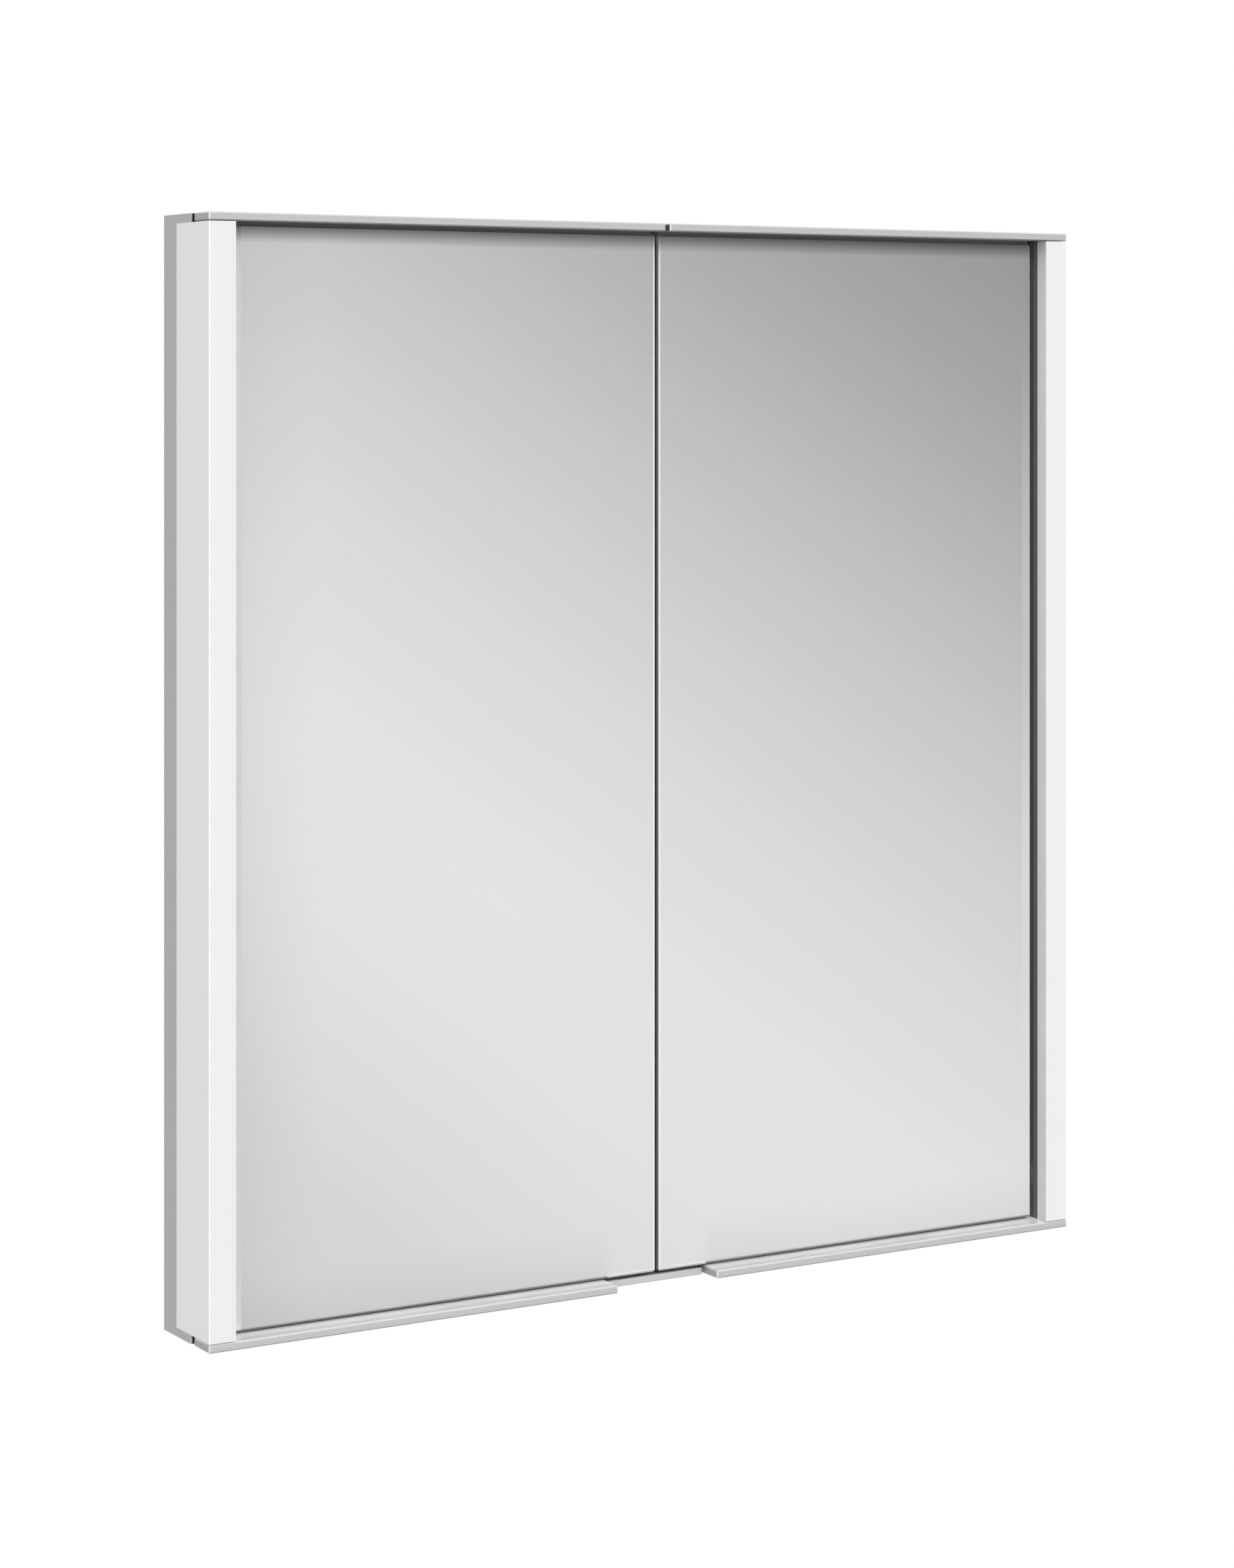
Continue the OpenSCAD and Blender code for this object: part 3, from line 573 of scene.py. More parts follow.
def light_on_mirror(made, top, low, outer):
    """Shares of light that a door mirror keeps: close to the profiles alone, and with the soft shade above
    the low profile and beside the column."""
    tree = made.tree
    below_top = calc(tree, "SUBTRACT", top, made.axis("Z"))
    above_low = calc(tree, "SUBTRACT", made.axis("Z"), low)
    under = made.group(EDGE_SHADE, Distance=below_top, **UNDER_TOP_PROFILE)
    over = made.group(EDGE_SHADE, Distance=above_low, Deepest=made.by_notch(0.03, 0.35),
                      **CLOSE_OVER_LOW_PROFILE)
    soft = made.group(EDGE_SHADE, Distance=above_low, Deepest=made.by_notch(0.89, 1.0, 6 * MM, -6 * MM),
                      **SOFT_OVER_LOW_PROFILE)
    close = calc(tree, "MULTIPLY", under["Share"], over["Share"])
    light = calc(tree, "MULTIPLY", close, soft["Share"])
    if outer is not None:
        from_column = calc(tree, "SUBTRACT", made.axis("X"), outer)
        beside = made.group(EDGE_SHADE, Distance=from_column, **BESIDE_COLUMN)
        light = calc(tree, "MULTIPLY", light, beside["Share"])
    return close, light


def painted_rim_highlights(made, low, highlight_rim_width):
    """Mask of the painted highlight rims: along the inner side, and in the finger notch along the lower
    edge.
    """
    tree = made.tree
    inner = INNER_SIDE + highlight_rim_width
    beside_gap = ease(tree, made.from_middle(), inner + SOFT_LINE, inner)
    along_low = ease(tree, made.axis("Z"), low + LOW_HIGHLIGHT_RIM + SOFT_LINE, low + LOW_HIGHLIGHT_RIM)
    return calc(tree, "MAXIMUM", beside_gap, calc(tree, "MULTIPLY", made.by_notch(), along_low))


def silvered_glass(name, top=None, low=None, outer=None, pale_band_below=None, highlight_rim_width=0.0):
    """Mirror: silver behind glass, nearly flat, with a faint haze of wiping. A door mirror, given by its top
    and low edge, gets painted shade beside the profiles and the column, and pale matt rims as a painted
    highlight. A paler matt band may run up its outer side."""
    made = Finish(name)
    tree = made.tree
    wipe = made.group(SOFT_CLOUD, Size=0.11, Low=0.008, High=0.022)
    film = made.noise(5.0, 5.0, 0.6)
    silver = blend_colours(tree, film, (0.915, 0.92, 0.922, 1), (0.93, 0.934, 0.935, 1))
    rough = wipe["Value"]
    metal = 1.0
    if top is not None:
        # Painted shade beside the profiles and the column
        close, light = light_on_mirror(made, top, low, outer)
        # Painted highlight: pale matt rims instead of silver, under the same painted shade
        rim_highlight = painted_rim_highlights(made, low, highlight_rim_width)
        silver = blend_colours(tree, rim_highlight, made.dimmed(silver, light), made.dimmed(grey(0.95)[:3], light))
        rough = ease(tree, rim_highlight, 0.0, 1.0, rough, 0.4)
        metal = calc(tree, "SUBTRACT", 1.0, rim_highlight)
    # A paler matt band up the outer side, under the same painted shade as the silver
    if pale_band_below is not None:
        band = ease(tree, made.axis("X"), pale_band_below, pale_band_below - 0.4 * MM)
        pale_band_tone = blend_colours(tree, made.noise(2500.0, 2.0), grey(0.74), grey(0.79))
        silver = blend_colours(tree, band, silver, made.dimmed(pale_band_tone, close))
        rough = ease(tree, band, 0.0, 1.0, rough, 0.6)
        metal = calc(tree, "SUBTRACT", metal, band)
    normal = made.bump(made.noise(2.2, 1.0), 0.02 * MM)
    made.set(Base_Color=silver, Roughness=rough, Metallic=metal, Normal=normal)
    return made.material


# Painted reflection: tone of the channels as the mirrors show them, by the share of their height
CHANNEL_IN_MIRROR = [(0.0, 0.76), (0.33, 0.71), (0.62, 0.545), (1.0, 0.31)]


def painted_reflection_in_mirrors(finish_material, low, high):
    """Painted reflection: where a mirror shows a face beside it, the face is black and glows with the
    mirror's own even tone, by height.
    """
    tree = finish_material.node_tree
    shader = next(item for item in tree.nodes if item.type == "BSDF_PRINCIPLED")
    share = add(tree, "ShaderNodeMapRange")
    for index, item in enumerate((coordinate(tree, object_place(tree), "Z"), low, high, 0.0, 1.0)):
        feed(tree, share.inputs[index], item)
    tone = tone_ramp(tree, share.outputs[0], "EASE", CHANNEL_IN_MIRROR)
    seen = add(tree, "ShaderNodeLightPath").outputs["Is Glossy Ray"]
    own = shader.inputs["Base Color"].links[0].from_socket
    feed(tree, shader.inputs["Base Color"], blend_colours(tree, seen, own, grey(0.0)))
    feed(tree, shader.inputs["Emission Color"], blend_colours(tree, seen, grey(0.0), tone))
    shader.inputs["Emission Strength"].default_value = 1.0


def ground_glass(name, top=None, low=None, painted_glow=0.0):
    """Ground edge of a mirror: pale, faintly green and finely scratched, with a faint painted glow for the
    light in the glass. A door mirror's, given by its top and low edge, gets painted shade beside the
    profiles and in the gap between the doors."""
    made = Finish(name)
    tree = made.tree
    scratch = made.noise(1800.0, 4.0, 0.7)
    base = blend_colours(tree, scratch, (0.8835, 0.91605, 0.9021, 1), grey(0.93))
    if top is not None:
        below_top = calc(tree, "SUBTRACT", top, made.axis("Z"))
        above_low = calc(tree, "SUBTRACT", made.axis("Z"), low)
        under = made.group(EDGE_SHADE, Distance=below_top, **EDGE_UNDER_TOP_PROFILE)
        over = ease(tree, above_low, 0.5 * MM, 1.0 * MM, made.by_notch(0.22, 1.0), 1.0)
        lit = made.dimmed(base, calc(tree, "MULTIPLY", under["Share"], over))
        # Painted shadow on the edges in the gap between the doors
        in_gap = calc(tree, "MULTIPLY", made.facing("X"), ease(tree, made.from_middle(), 3 * MM, 2 * MM))
        base = blend_colours(tree, in_gap, lit, grey(0.30))
    rough = ease(tree, scratch, 0.2, 0.8, 0.22, 0.45)
    made.set(Base_Color=base, Roughness=rough, Normal=made.bump(scratch, 0.006 * MM))
    # Painted glow
    made.set(Emission_Color=base, Emission_Strength=painted_glow)
    return made.material


def clear_glass(name):
    """Shelf glass: clear, with the faint green of float glass."""
    made = Finish(name)
    smear = made.group(SOFT_CLOUD, Size=0.07, Low=0.0, High=0.035)
    tint = blend_colours(made.tree, made.noise(6.0), (0.90, 0.965, 0.935, 1), (0.93, 0.975, 0.955, 1))
    made.set(Base_Color=tint, Roughness=smear["Value"], Transmission_Weight=1.0, IOR=1.52)
    return made.material


def black_core(name, top):
    """Foamed black core between the mirrors, with open pores on its cut faces, lighter grey in its top
    8 mm.
    """
    made = Finish(name)
    pores = made.noise(1500.0, 4.0, 0.65)
    base = blend_colours(made.tree, ease(made.tree, pores, 0.35, 0.65), grey(0.045), grey(0.085))
    lighter_top = ease(made.tree, made.axis("Z"), top - 8 * MM, top - 4 * MM)
    base = blend_colours(made.tree, lighter_top, base, grey(0.20))
    rough = ease(made.tree, pores, 0.3, 0.7, 0.75, 0.55)
    made.set(Base_Color=base, Roughness=rough, Normal=made.bump(pores, 0.05 * MM))
    return made.material


def coated_sheet(name, tone, texture, low, high, gloss_edge):
    """Powder coated sheet: fine orange peel, soft patches of gloss, coat rubbed thin on the edges."""
    made = Finish(name)
    tree = made.tree
    peel = made.noise(texture, 2.0, 0.4)
    cloud = made.group(SOFT_CLOUD, Size=0.08, Low=low, High=high)
    edge = made.group(EDGE_WEAR_AND_HIGHLIGHT, Width=0.4 * MM)
    dust = made.group(SETTLED_DUST, Amount=0.3)
    base = blend_colours(tree, peel, grey(tone * 0.97), grey(min(1, tone * 1.02)))
    rubbed = calc(tree, "MULTIPLY", edge["Mask"], gloss_edge)
    base = blend_colours(tree, rubbed, base, grey(min(1, tone * 1.12)))
    base = blend_colours(tree, dust["Mask"], base, grey(0.7, 0.02))
    normal = made.bump(peel, 0.03 * MM)
    made.set(Base_Color=base, Roughness=cloud["Value"], Normal=normal)
    return made.material


def zinc_sheet(name):
    """Zinc coated steel sheet: flat crystals of slightly different brightness and rolling lines."""
    made = Finish(name)
    tree = made.tree
    crystals = add(tree, "ShaderNodeTexVoronoi")
    feed(tree, crystals.inputs["Vector"], made.place)
    crystals.inputs["Scale"].default_value = 160.0
    spangle = add(tree, "ShaderNodeSeparateColor")
    feed(tree, spangle.inputs[0], crystals.outputs["Color"])
    lines = made.group(DRAWN_LINES, Stretch=(900.0, 900.0, 30.0))
    edge = made.group(EDGE_WEAR_AND_HIGHLIGHT, Width=0.4 * MM)
    base = blend_colours(tree, spangle.outputs[0], grey(0.58), grey(0.72))
    base = blend_colours(tree, calc(tree, "MULTIPLY", lines["Bands"], 0.4), base, grey(0.62))
    base = blend_colours(tree, edge["Mask"], base, grey(0.85))
    rough = ease(tree, spangle.outputs[1], 0.0, 1.0, 0.36, 0.50)
    made.set(Base_Color=base, Roughness=rough, Metallic=1.0, Normal=made.bump(lines["Lines"], 0.004 * MM))
    return made.material


def bright_steel(name):
    """Zinc plated screws, pins and plates: turned lines and slightly dulled recesses."""
    made = Finish(name)
    tree = made.tree
    marks = made.noise(2200.0, 3.0, 0.6)
    cloud = made.group(SOFT_CLOUD, Size=0.01, Low=0.22, High=0.36)
    edge = made.group(EDGE_WEAR_AND_HIGHLIGHT, Width=0.25 * MM)
    base = blend_colours(tree, marks, grey(0.60, 0.01), grey(0.72, 0.01))
    base = blend_colours(tree, edge["Mask"], base, grey(0.88))
    made.set(Base_Color=base, Roughness=cloud["Value"], Metallic=1.0, Normal=made.bump(marks, 0.004 * MM))
    return made.material


def moulded_plastic(name, dark, pale, low, high, grain=1400.0, depth=0.012):
    """Moulded plastic with the fine spark texture of its mould and softly worn edges."""
    made = Finish(name)
    tree = made.tree
    spark = made.noise(grain, 3.0, 0.55)
    cloud = made.group(SOFT_CLOUD, Size=0.02, Low=low, High=high)
    edge = made.group(EDGE_WEAR_AND_HIGHLIGHT, Width=0.35 * MM)
    base = blend_colours(tree, spark, grey(dark, 0.005), grey(pale, 0.005))
    base = blend_colours(tree, calc(tree, "MULTIPLY", edge["Mask"], 0.5), base, grey(min(1, pale * 1.15)))
    made.set(Base_Color=base, Roughness=cloud["Value"], Normal=made.bump(spark, depth * MM))
    return made.material


def light_board(name):
    """White solder resist of the light strip and of the small lights on it, with fine specks."""
    made = Finish(name)
    speck = made.noise(900.0, 2.0)
    base = blend_colours(made.tree, speck, (0.82, 0.83, 0.80, 1), (0.90, 0.90, 0.86, 1))
    made.set(Base_Color=base, Roughness=ease(made.tree, speck, 0.3, 0.7, 0.3, 0.5),
             Normal=made.bump(speck, 0.01 * MM))
    return made.material


def soft_seal(name):
    """Dark flexible seal, matt, with a bloom on its ribs."""
    made = Finish(name)
    bloom = made.noise(700.0, 3.0)
    base = blend_colours(made.tree, bloom, grey(0.10), grey(0.15))
    made.set(Base_Color=base, Roughness=ease(made.tree, bloom, 0.3, 0.7, 0.55, 0.7),
             Normal=made.bump(bloom, 0.01 * MM))
    return made.material


rail_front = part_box("top_rail")[0][1]
profile_low, profile_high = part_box("left_top_profile")
profile_middle = (profile_low[2] + profile_high[2]) / 2
profile_reach = -profile_low[0] - 1.0 * MM
channel_low, channel_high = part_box("light_channel_left")

# Painted strips along the front: a shadow on the rails, a highlight on the uprights and cheeks
frame_along = satin_aluminium("frame_satin_along", ALONG_X, 0.66, 0.85, 0.40, 0.48,
                              front=(rail_front + 0.3 * MM, 0.05))
frame_upright = satin_aluminium("frame_satin_upright", ALONG_Z, 0.66, 0.85, 0.40, 0.48,
                                front=(rail_front + 1.4 * MM, 0.86),
                                gap_shadow=(rail_front + 0.3 * MM, profile_reach))
# Door profiles and notch strip: painted shade on cut ends and downward faces, painted light on upward faces
profile_satin = satin_aluminium("door_profile_satin", ALONG_X, 0.75, 0.92, 0.36, 0.44, metal=0.55,
                                end_shade_share=0.66, crown=profile_middle, upper=1.26, lower=0.54,
                                ledge=profile_low[1])
strip_satin = satin_aluminium("notch_strip_satin", ALONG_X, 0.80, 0.94, 0.32, 0.40, metal=0.55, end_shade_share=0.66,
                              upper=1.25, lower=0.62)
channel_satin = satin_aluminium("channel_satin", ALONG_Z, 0.80, 0.97, 0.42, 0.50, metal=0.4)
# Painted highlight: the channels' near white front corner and lip
channel_highlight = satin_aluminium("channel_painted_highlight", ALONG_Z, 0.99, 0.99, 0.34, 0.42, metal=0.0)
# Painted reflection of the channels in the door mirrors
for beside_mirror in (channel_satin, channel_highlight):
    painted_reflection_in_mirrors(beside_mirror, channel_low[2], channel_high[2])
opal = opal_acrylic("opal_cover_milk")
edge_of_glass = ground_glass("ground_glass_edge")
shelf_clear = clear_glass("shelf_clear")
core_foam = black_core("black_core_foam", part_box("left_core")[1][2])
sheet_coat = zinc_sheet("carcass_zinc")
housing_coat = coated_sheet("housing_white_coat", 0.80, 900.0, 0.30, 0.42, 0.5)
steel_bright = bright_steel("screw_steel")
white_moulding = moulded_plastic("fitting_white", 0.78, 0.84, 0.25, 0.38)
dark_moulding = moulded_plastic("fitting_dark", 0.045, 0.075, 0.35, 0.5)
bush_moulding = moulded_plastic("bush_ivory", 0.62, 0.70, 0.4, 0.5)
buffer_soft = moulded_plastic("buffer_milky", 0.74, 0.82, 0.18, 0.28, 500.0, 0.004)
board_white = light_board("light_board_white")
seal_dark = soft_seal("seal_dark")


# ---- Pieces ---------------------------------------------------------------------------------

def corners(node):
    """Lowest and highest corner of a CAD node as arrays."""
    low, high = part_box(node)
    return np.array(low), np.array(high)


def glass_plate(name, node, axes, body, face, edge, corner=1.2 * MM, arris=0.5 * MM):
    """Plate of glass in the place of a CAD node: flat faces, ground edges and a small arris all round."""
    low, high = corners(node)
    share = arris / (high - low)["xyz".index(axes[2])]
    steps = [(arris, 0.0), (0.0, share), (0.0, 1 - share), (arris, 1.0)]
    make_piece(name, [(edged_plate(low, high, axes, corner, steps), 1, 0)], [face, edge], body, [node])


mirror_low, mirror_high = corners("left_front_mirror")
left_silver = silvered_glass("left_mirror_silver", mirror_high[2], mirror_low[2], mirror_low[0],
                             mirror_low[0] + 6.6 * MM, highlight_rim_width=1.4 * MM)
right_silver = silvered_glass("right_mirror_silver", mirror_high[2], mirror_low[2], highlight_rim_width=0.8 * MM)
plain_silver = silvered_glass("inner_mirror_silver")
door_edge = ground_glass("door_glass_edge", mirror_high[2], mirror_low[2], painted_glow=0.12)

for side, silver in (("left", left_silver), ("right", right_silver)):
    glass_plate(side + "_mirror_glass", side + "_front_mirror", "xzy", side + "_door", silver,
                door_edge)
for name, node, body in (("left_inner_mirror", "left_rear_mirror", "left_door"),
                         ("right_inner_mirror", "right_rear_mirror", "right_door"),
                         ("back_wall_mirror", "back_mirror", "cabinet")):
    glass_plate(name, node, "xzy", body, plain_silver, edge_of_glass)
for shelf in ("lower_shelf", "upper_shelf"):
    glass_plate(shelf + "_glass", shelf, "xyz", "cabinet", shelf_clear, shelf_clear,
                corner=3 * MM, arris=0.8 * MM)


# Depths behind the front of a channel: end of its satin face, of its bright lip, a painted highlight,
# and of the seal, and where the clips begin and end
SATIN_DEPTH = 9.0 * MM
BRIGHT_DEPTH = 9.9 * MM
SEAL_DEPTH = 27.0 * MM
GROOVE = 0.45 * MM
RIB_PITCH = 3.3 * MM
RIB_POINTS = 61
CLIP_FRONT = 16.2 * MM
CLIP_REAR = 17.2 * MM
CLIP_SUNK = 0.15 * MM
CHANNEL_SHEET = 1.0 * MM
# Depth of the bright strip at the channel's front corner, a painted highlight
BRIGHT_CORNER = 0.5 * MM


def seal_section(outer, inner, front, turned):
    """Outline of the ribbed seal across x and y: its face falls and rises as a cosine, one rib every
    pitch."""
    depth = np.linspace(BRIGHT_DEPTH, SEAL_DEPTH, RIB_POINTS)
    wave = GROOVE * (0.5 + 0.5 * np.cos(2 * math.pi * (depth - BRIGHT_DEPTH) / RIB_PITCH))
    face = np.column_stack([inner - turned * wave, front + depth])
    back = np.array([[outer, front + SEAL_DEPTH], [outer, front + BRIGHT_DEPTH]])
    return np.concatenate([face, back])


def slab(x0, x1, y0, y1, low, high):
    """Upright bar: a rectangle across x and y, carried up from low to high."""
    return extrusion(np.array([[x0, y0], [x1, y0], [x1, y1], [x0, y1]]), low, high, "xyz")


def lit_channel(side, turned):
    """Channel of a lit column: a satin face towards the door between a bright front corner and a bright
    lip, both painted highlights, a ribbed seal behind the lip with two clips in it, a bare sheet behind
    the seal, and the channel's rear wall."""
    low, high = corners("light_channel_" + side)
    inner = high[0] if turned > 0 else low[0]
    far = low[0] if turned > 0 else high[0]
    outer = inner - turned * CHANNEL_SHEET
    front, rear = low[1], high[1]
    height = (low[2], high[2])
    parts = [
        (slab(outer, inner, front, front + BRIGHT_CORNER, *height), 1, 1),
        (slab(outer, inner, front + BRIGHT_CORNER, front + SATIN_DEPTH, *height), 0, 0),
        (slab(outer, inner, front + SATIN_DEPTH, front + BRIGHT_DEPTH, *height), 1, 1),
        (extrusion(seal_section(outer, inner, front, turned), *height, "xyz"), 2, 2),
        (slab(outer, inner, front + SEAL_DEPTH, rear, *height), 0, 0),
        (slab(far, outer, rear - CHANNEL_SHEET, rear, *height), 0, 0),
    ]
    clip_face = inner - turned * CLIP_SUNK
    for clip in ((low[2] + 24 * MM, low[2] + 40 * MM), (high[2] - 34 * MM, high[2] - 17 * MM)):
        parts.append((slab(outer, clip_face, front + CLIP_FRONT, front + CLIP_REAR, *clip), 3, 3))
    make_piece("lit_channel_" + side, parts, [channel_satin, channel_highlight, seal_dark, steel_bright],
               "cabinet", ["light_channel_" + side])


# Pressed beads of the back panel: depth and half width, then the ring's half width, half height and corner
# radius, and how far out and how far up its two bars reach
BEAD_DEPTH = 1.0 * MM
BEAD_HALF = 9.0 * MM
RING_X = 250 * MM
RING_Z = 285 * MM
RING_CORNER = 45 * MM
BAR_X = 90 * MM
BAR_Z = 215 * MM

SHEET = 2.0 * MM
FLANGE_OVER_FLOOR = 18 * MM
FLANGE_UNDER_HOUSING = 6 * MM


def beads(x, z):
    """Depth of the pressed beads: half a cosine wave across each, along a round-cornered ring and along
    two upright bars inside it."""
    off_x = np.abs(x) - (RING_X - RING_CORNER)
    off_z = np.abs(z) - (RING_Z - RING_CORNER)
    outside = np.hypot(np.maximum(off_x, 0), np.maximum(off_z, 0))
    ring = outside + np.minimum(np.maximum(off_x, off_z), 0) - RING_CORNER
    bar = np.hypot(np.abs(x) - BAR_X, np.maximum(np.abs(z) - BAR_Z, 0))
    nearest = np.clip(np.minimum(np.abs(ring), bar) / BEAD_HALF, 0, 1)
    return BEAD_DEPTH * 0.5 * (1 + np.cos(math.pi * nearest))


def back_sheet():
    """Back panel of the carcass with its pressed beads, and the two flanges that the rivets go through."""
    low, high = corners("back_panel")
    front = high[1] - SHEET
    sheet_low = np.array([low[0], front, low[2]])
    parts = [(pressed_sheet(sheet_low, high, front, beads, columns=181, rows=199), 0, 0)]
    wall_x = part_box("side_panel_left")[0][0] + SHEET
    flange_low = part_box("bottom_panel")[0][2] + SHEET + FLANGE_OVER_FLOOR
    flange_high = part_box("electrics_housing")[0][2] - FLANGE_UNDER_HOUSING
    for turned in (1, -1):
        near, far = turned * wall_x, turned * (wall_x + SHEET)
        parts.append((slab(near, far, low[1], front, flange_low, flange_high), 0, 0))
    make_piece("pressed_back_panel", parts, [sheet_coat], "cabinet", ["back_panel"])


def gland():
    """Cable gland: a nut with six soft sides below the ceiling, a neck through it and a turned flange on
    top. A skin closes each end of the bore, a little inside it, until a cable is pushed through."""
    low, high = corners("cable_gland")
    centre = [(low[0] + high[0]) / 2, (low[1] + high[1]) / 2, low[2]]
    top = (high[2] - low[2]) / MM
    neck = top - 2.4
    profile = [
        (4.2, 0.8, 0), (4.9, 0.0, 0),
        (9.0, 0.0, 1), (10.0, 0.8, 1), (10.0, 4.2, 1), (9.4, 5.0, 1),
        (7.0, 5.0, 0), (7.0, neck, 0),
        (10.0, neck, 0), (10.0, neck + 1.4, 0), (9.2, top, 0),
        (5.0, top, 0), (4.2, top - 0.8, 0),
    ]
    part = turning(np.array(profile) * (MM, MM, 1), centre, "xyz", sides=72, ribs=6, rib_depth=0.12)
    make_piece("ribbed_cable_gland", [(part, 0, 0)], [dark_moulding], "cabinet",
               ["cable_gland"])


BUFFER_INWARDS = 4.8 * MM
BUFFER_FROM_END = 90 * MM
BUFFER_DOME = [(4.0, 0.0, 0), (4.0, 0.5, 0), (3.7, 0.95, 0), (2.9, 1.3, 0), (1.6, 1.5, 0), (0.4, 1.55, 0)]


def door_buffers(side, turned):
    """Soft milky buffers on the inner mirror: low domes that meet the folded edge of the carcass."""
    low, high = corners(side + "_rear_mirror")
    outer = low[0] if turned > 0 else high[0]
    dome = np.array(BUFFER_DOME) * (MM, MM, 1)
    parts = []
    for height in (low[2] + BUFFER_FROM_END, high[2] - BUFFER_FROM_END):
        centre = [outer + turned * BUFFER_INWARDS, height, high[1]]
        parts.append((turning(dome, centre, "xzy", sides=40), 0, 0))
    make_piece(side + "_door_buffers", parts, [buffer_soft], side + "_door")


lit_channel("left", 1)
lit_channel("right", -1)
back_sheet()
gland()
door_buffers("left", 1)
door_buffers("right", -1)


NODE_FINISHES = [
    (frame_upright, ["side_cheek_left", "side_cheek_right", "upright_left", "upright_right"]),
    (frame_along, ["top_rail", "bottom_rail"]),
    (strip_satin, ["notch_strip"]),
    (opal, ["opal_cover_left", "opal_cover_right"]),
    (board_white, ["light_strip_left", "light_strip_right"]),
    (sheet_coat, ["side_panel_left", "side_panel_right", "top_panel", "bottom_panel"]),
    (housing_coat, ["electrics_housing"]),
    (white_moulding, ["light_driver", "socket_insert", "switch_bezel", "switch_rocker"]),
    (dark_moulding, ["column_plugs_left", "column_plugs_right", "magnet_catches"]),
    (bush_moulding, ["thrust_washers", "terminal_block"]),
    (steel_bright, ["pivot_pins_left", "pivot_pins_right", "shelf_clips_left", "shelf_clips_right",
                    "frame_screws", "column_screws", "rivets", "housing_screws"]),
]
DOOR_FINISHES = [
    (profile_satin, ["top_profile", "bottom_profile"]),
    (core_foam, ["core"]),
    (bush_moulding, ["bushes"]),
    (steel_bright, ["edge_plates", "door_screws", "strike_plate"]),
]
for side in ("left_", "right_"):
    NODE_FINISHES += [(finish, [side + name for name in names]) for finish, names in DOOR_FINISHES]

for finish, names in NODE_FINISHES:
    for name in names:
        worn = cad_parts[name].data.materials
        worn.clear()
        worn.append(finish)


# ---- Stage ----------------------------------------------------------------------------------

def stage_sheet(name, loop, faces, material):
    """Flat stage piece from its corner points."""
    mesh = bpy.data.meshes.new(name)
    mesh.from_pydata(loop, [], faces)
    mesh.materials.append(material)
    made = bpy.data.objects.new(name, mesh)
    bpy.context.scene.collection.objects.link(made)


def stage_material(name, seen, bounced, fades=False):
    """Pale stage surface: its seen tone to the camera, a softer one to the object, and clear from behind.
    It may fade to white towards its rim and towards the wall."""
    material = bpy.data.materials.new(name)
    material.use_nodes = True
    tree = material.node_tree
    tree.nodes.clear()
    path = add(tree, "ShaderNodeLightPath")
    shade = add(tree, "ShaderNodeEmission")
    tone = grey(seen)
    if fades:
        reach = add(tree, "ShaderNodeVectorMath", operation="LENGTH")
        feed(tree, reach.inputs[0], object_place(tree))
        at_rim = ease(tree, reach.outputs["Value"], FADE_START, FLOOR_HALF)
        from_wall = calc(tree, "ABSOLUTE", coordinate(tree, object_place(tree), "Y"))
        faded = calc(tree, "MAXIMUM", at_rim, ease(tree, from_wall, WALL_FADE, 0.0))
        tone = blend_colours(tree, faded, tone, grey(1.0))
    shown = blend_colours(tree, path.outputs["Is Camera Ray"], grey(bounced), tone)
    feed(tree, shade.inputs["Color"], shown)
    clear = add(tree, "ShaderNodeBsdfTransparent")
    face = add(tree, "ShaderNodeNewGeometry")
    mix = add(tree, "ShaderNodeMixShader")
    feed(tree, mix.inputs[0], face.outputs["Backfacing"])
    tree.links.new(shade.outputs[0], mix.inputs[1])
    tree.links.new(clear.outputs[0], mix.inputs[2])
    out = add(tree, "ShaderNodeOutputMaterial")
    tree.links.new(mix.outputs[0], out.inputs["Surface"])
    return material


FLOOR_Z = -1.55
FLOOR_HALF = 3.2
FADE_START = 1.7
WALL_FADE = 1.1
WALL_Y = 0.4 * MM
WALL_HALF = 4.0
WALL_TOP = 3.0
OPENING = 1.0 * MM

panel_low, panel_high = corners("back_panel")
hole_x = panel_high[0] + OPENING
hole_low = panel_low[2] - OPENING
hole_high = panel_high[2] + OPENING
wall_points = [
    (-WALL_HALF, WALL_Y, FLOOR_Z), (WALL_HALF, WALL_Y, FLOOR_Z), (WALL_HALF, WALL_Y, WALL_TOP),
    (-WALL_HALF, WALL_Y, WALL_TOP), (-hole_x, WALL_Y, hole_low), (hole_x, WALL_Y, hole_low),
    (hole_x, WALL_Y, hole_high), (-hole_x, WALL_Y, hole_high),
]
wall_faces = [(0, 1, 5, 4), (1, 2, 6, 5), (2, 3, 7, 6), (3, 0, 4, 7)]
stage_sheet("wall", wall_points, wall_faces, stage_material("wall_white", 1.0, 0.60))

floor_points = [(-FLOOR_HALF, -FLOOR_HALF, FLOOR_Z), (FLOOR_HALF, -FLOOR_HALF, FLOOR_Z),
                (FLOOR_HALF, FLOOR_HALF, FLOOR_Z), (-FLOOR_HALF, FLOOR_HALF, FLOOR_Z)]
stage_sheet("floor", floor_points, [(0, 1, 2, 3)], stage_material("floor_pale", 0.90, 0.45, fades=True))


# ---- Light ----------------------------------------------------------------------------------

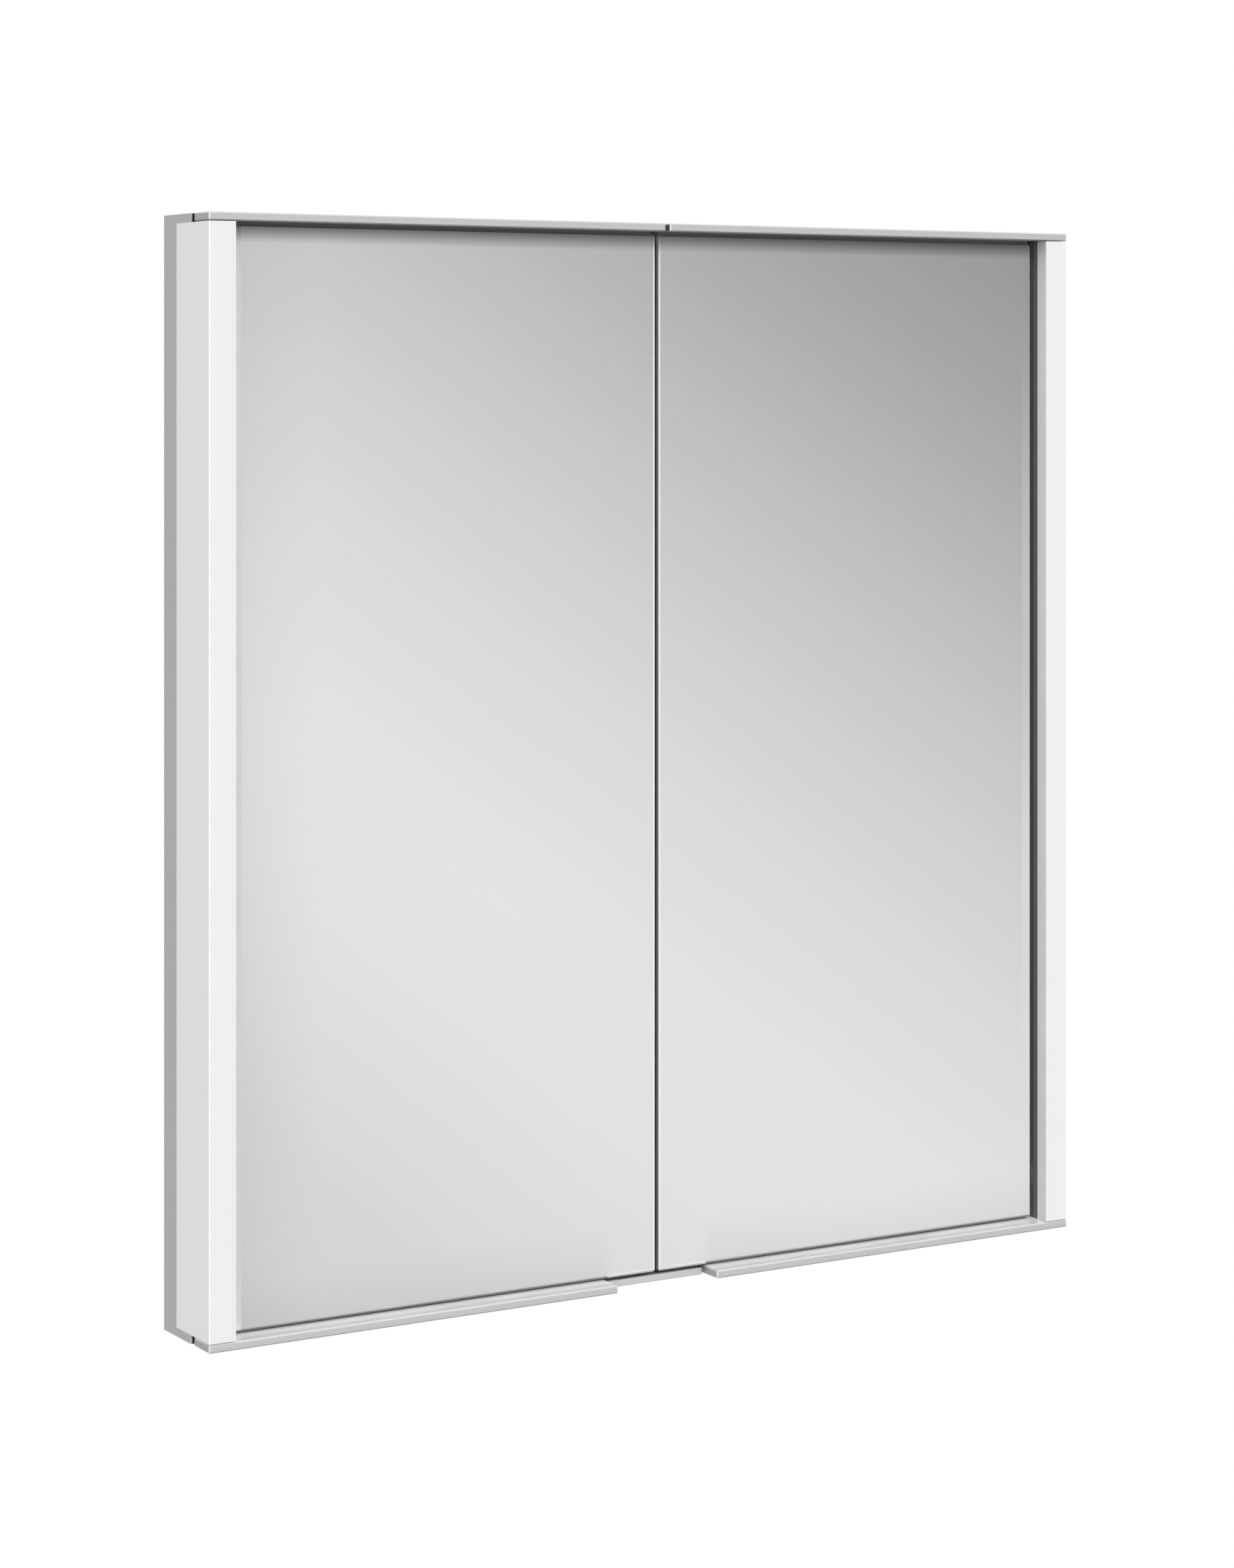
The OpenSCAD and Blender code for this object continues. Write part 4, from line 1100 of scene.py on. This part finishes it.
# Brightness of the studio by the angle a polished face looks in, in degrees: azimuth from the front towards
# the right plus the elevation times its weight
STUDIO_TONES = [
    (-180, 0.80), (-90, 0.90), (-60, 1.50), (-35, 1.00), (-15, 0.70), (2, 0.66), (10, 0.725),
    (14, 0.81), (18, 0.837), (20, 0.82), (24, 0.75), (28, 0.652), (32, 0.543), (36, 0.42),
    (40, 0.34), (46, 0.29), (60, 0.38), (90, 0.60), (180, 0.80),
]
ELEVATION_WEIGHT = 1.33
POLISHED_OVERHEAD = 1.35
POLISHED_BELOW = 0.40
SKY_LOW = 0.55
SKY_HIGH = 1.37


def light_the_studio():
    """Soft studio all round: white to the camera, a smooth gradient to polished faces, and a soft sky
    with a dimmer lower half to everything else."""
    world = bpy.data.worlds.new("studio")
    bpy.context.scene.world = world
    world.use_nodes = True
    tree = world.node_tree
    tree.nodes.clear()
    look = add(tree, "ShaderNodeTexCoord").outputs["Generated"]
    forward = calc(tree, "MULTIPLY", coordinate(tree, look, "Y"), -1.0)
    azimuth = calc(tree, "ARCTAN2", coordinate(tree, look, "X"), forward)
    elevation = calc(tree, "ARCSINE", coordinate(tree, look, "Z"))
    lean = calc(tree, "ADD", azimuth, calc(tree, "MULTIPLY", elevation, ELEVATION_WEIGHT))
    turn = calc(tree, "ADD", calc(tree, "DIVIDE", lean, 2 * math.pi), 0.5, clamp=True)
    tones = [(degrees / 360 + 0.5, tone) for degrees, tone in STUDIO_TONES]
    polished = tone_ramp(tree, turn, "B_SPLINE", tones)
    polished = blend_colours(tree, ease(tree, elevation, 0.5, 1.1), polished, grey(POLISHED_OVERHEAD))
    polished = blend_colours(tree, ease(tree, elevation, -0.45, -0.9), polished, grey(POLISHED_BELOW))
    soft = blend_colours(tree, ease(tree, elevation, -0.5, 0.4), grey(SKY_LOW), grey(SKY_HIGH))
    path = add(tree, "ShaderNodeLightPath")
    shown = blend_colours(tree, path.outputs["Is Glossy Ray"], soft, polished)
    shown = blend_colours(tree, path.outputs["Is Camera Ray"], shown, grey(1.0))
    back = add(tree, "ShaderNodeBackground")
    feed(tree, back.inputs["Color"], shown)
    out = add(tree, "ShaderNodeOutputWorld")
    tree.links.new(back.outputs[0], out.inputs["Surface"])


light_the_studio()
bpy.context.scene.view_settings.view_transform = "Standard"


# ---- Camera ---------------------------------------------------------------------------------

# Where the camera stands, from the cabinet's lowest, leftmost and foremost corner, and where it looks
EYE = (-0.932, -2.048, 0.595)
HEADING = -30.84
LENS = 83.83
SHIFT_DOWN = -0.2559


def place_camera():
    """Level camera to the left of the cabinet, a little below its top; the shift moves the view down."""
    data = bpy.data.cameras.new("camera")
    data.sensor_fit = "VERTICAL"
    data.sensor_height = 36.0
    data.sensor_width = 24.0
    data.lens = LENS
    data.shift_y = SHIFT_DOWN
    data.clip_start = 0.05
    data.clip_end = 60.0
    camera = bpy.data.objects.new("camera", data)
    bpy.context.scene.collection.objects.link(camera)
    camera.location = [corner + step for corner, step in zip(cad_low, EYE)]
    camera.rotation_euler = (math.radians(90), 0, math.radians(HEADING))
    bpy.context.scene.camera = camera


place_camera()
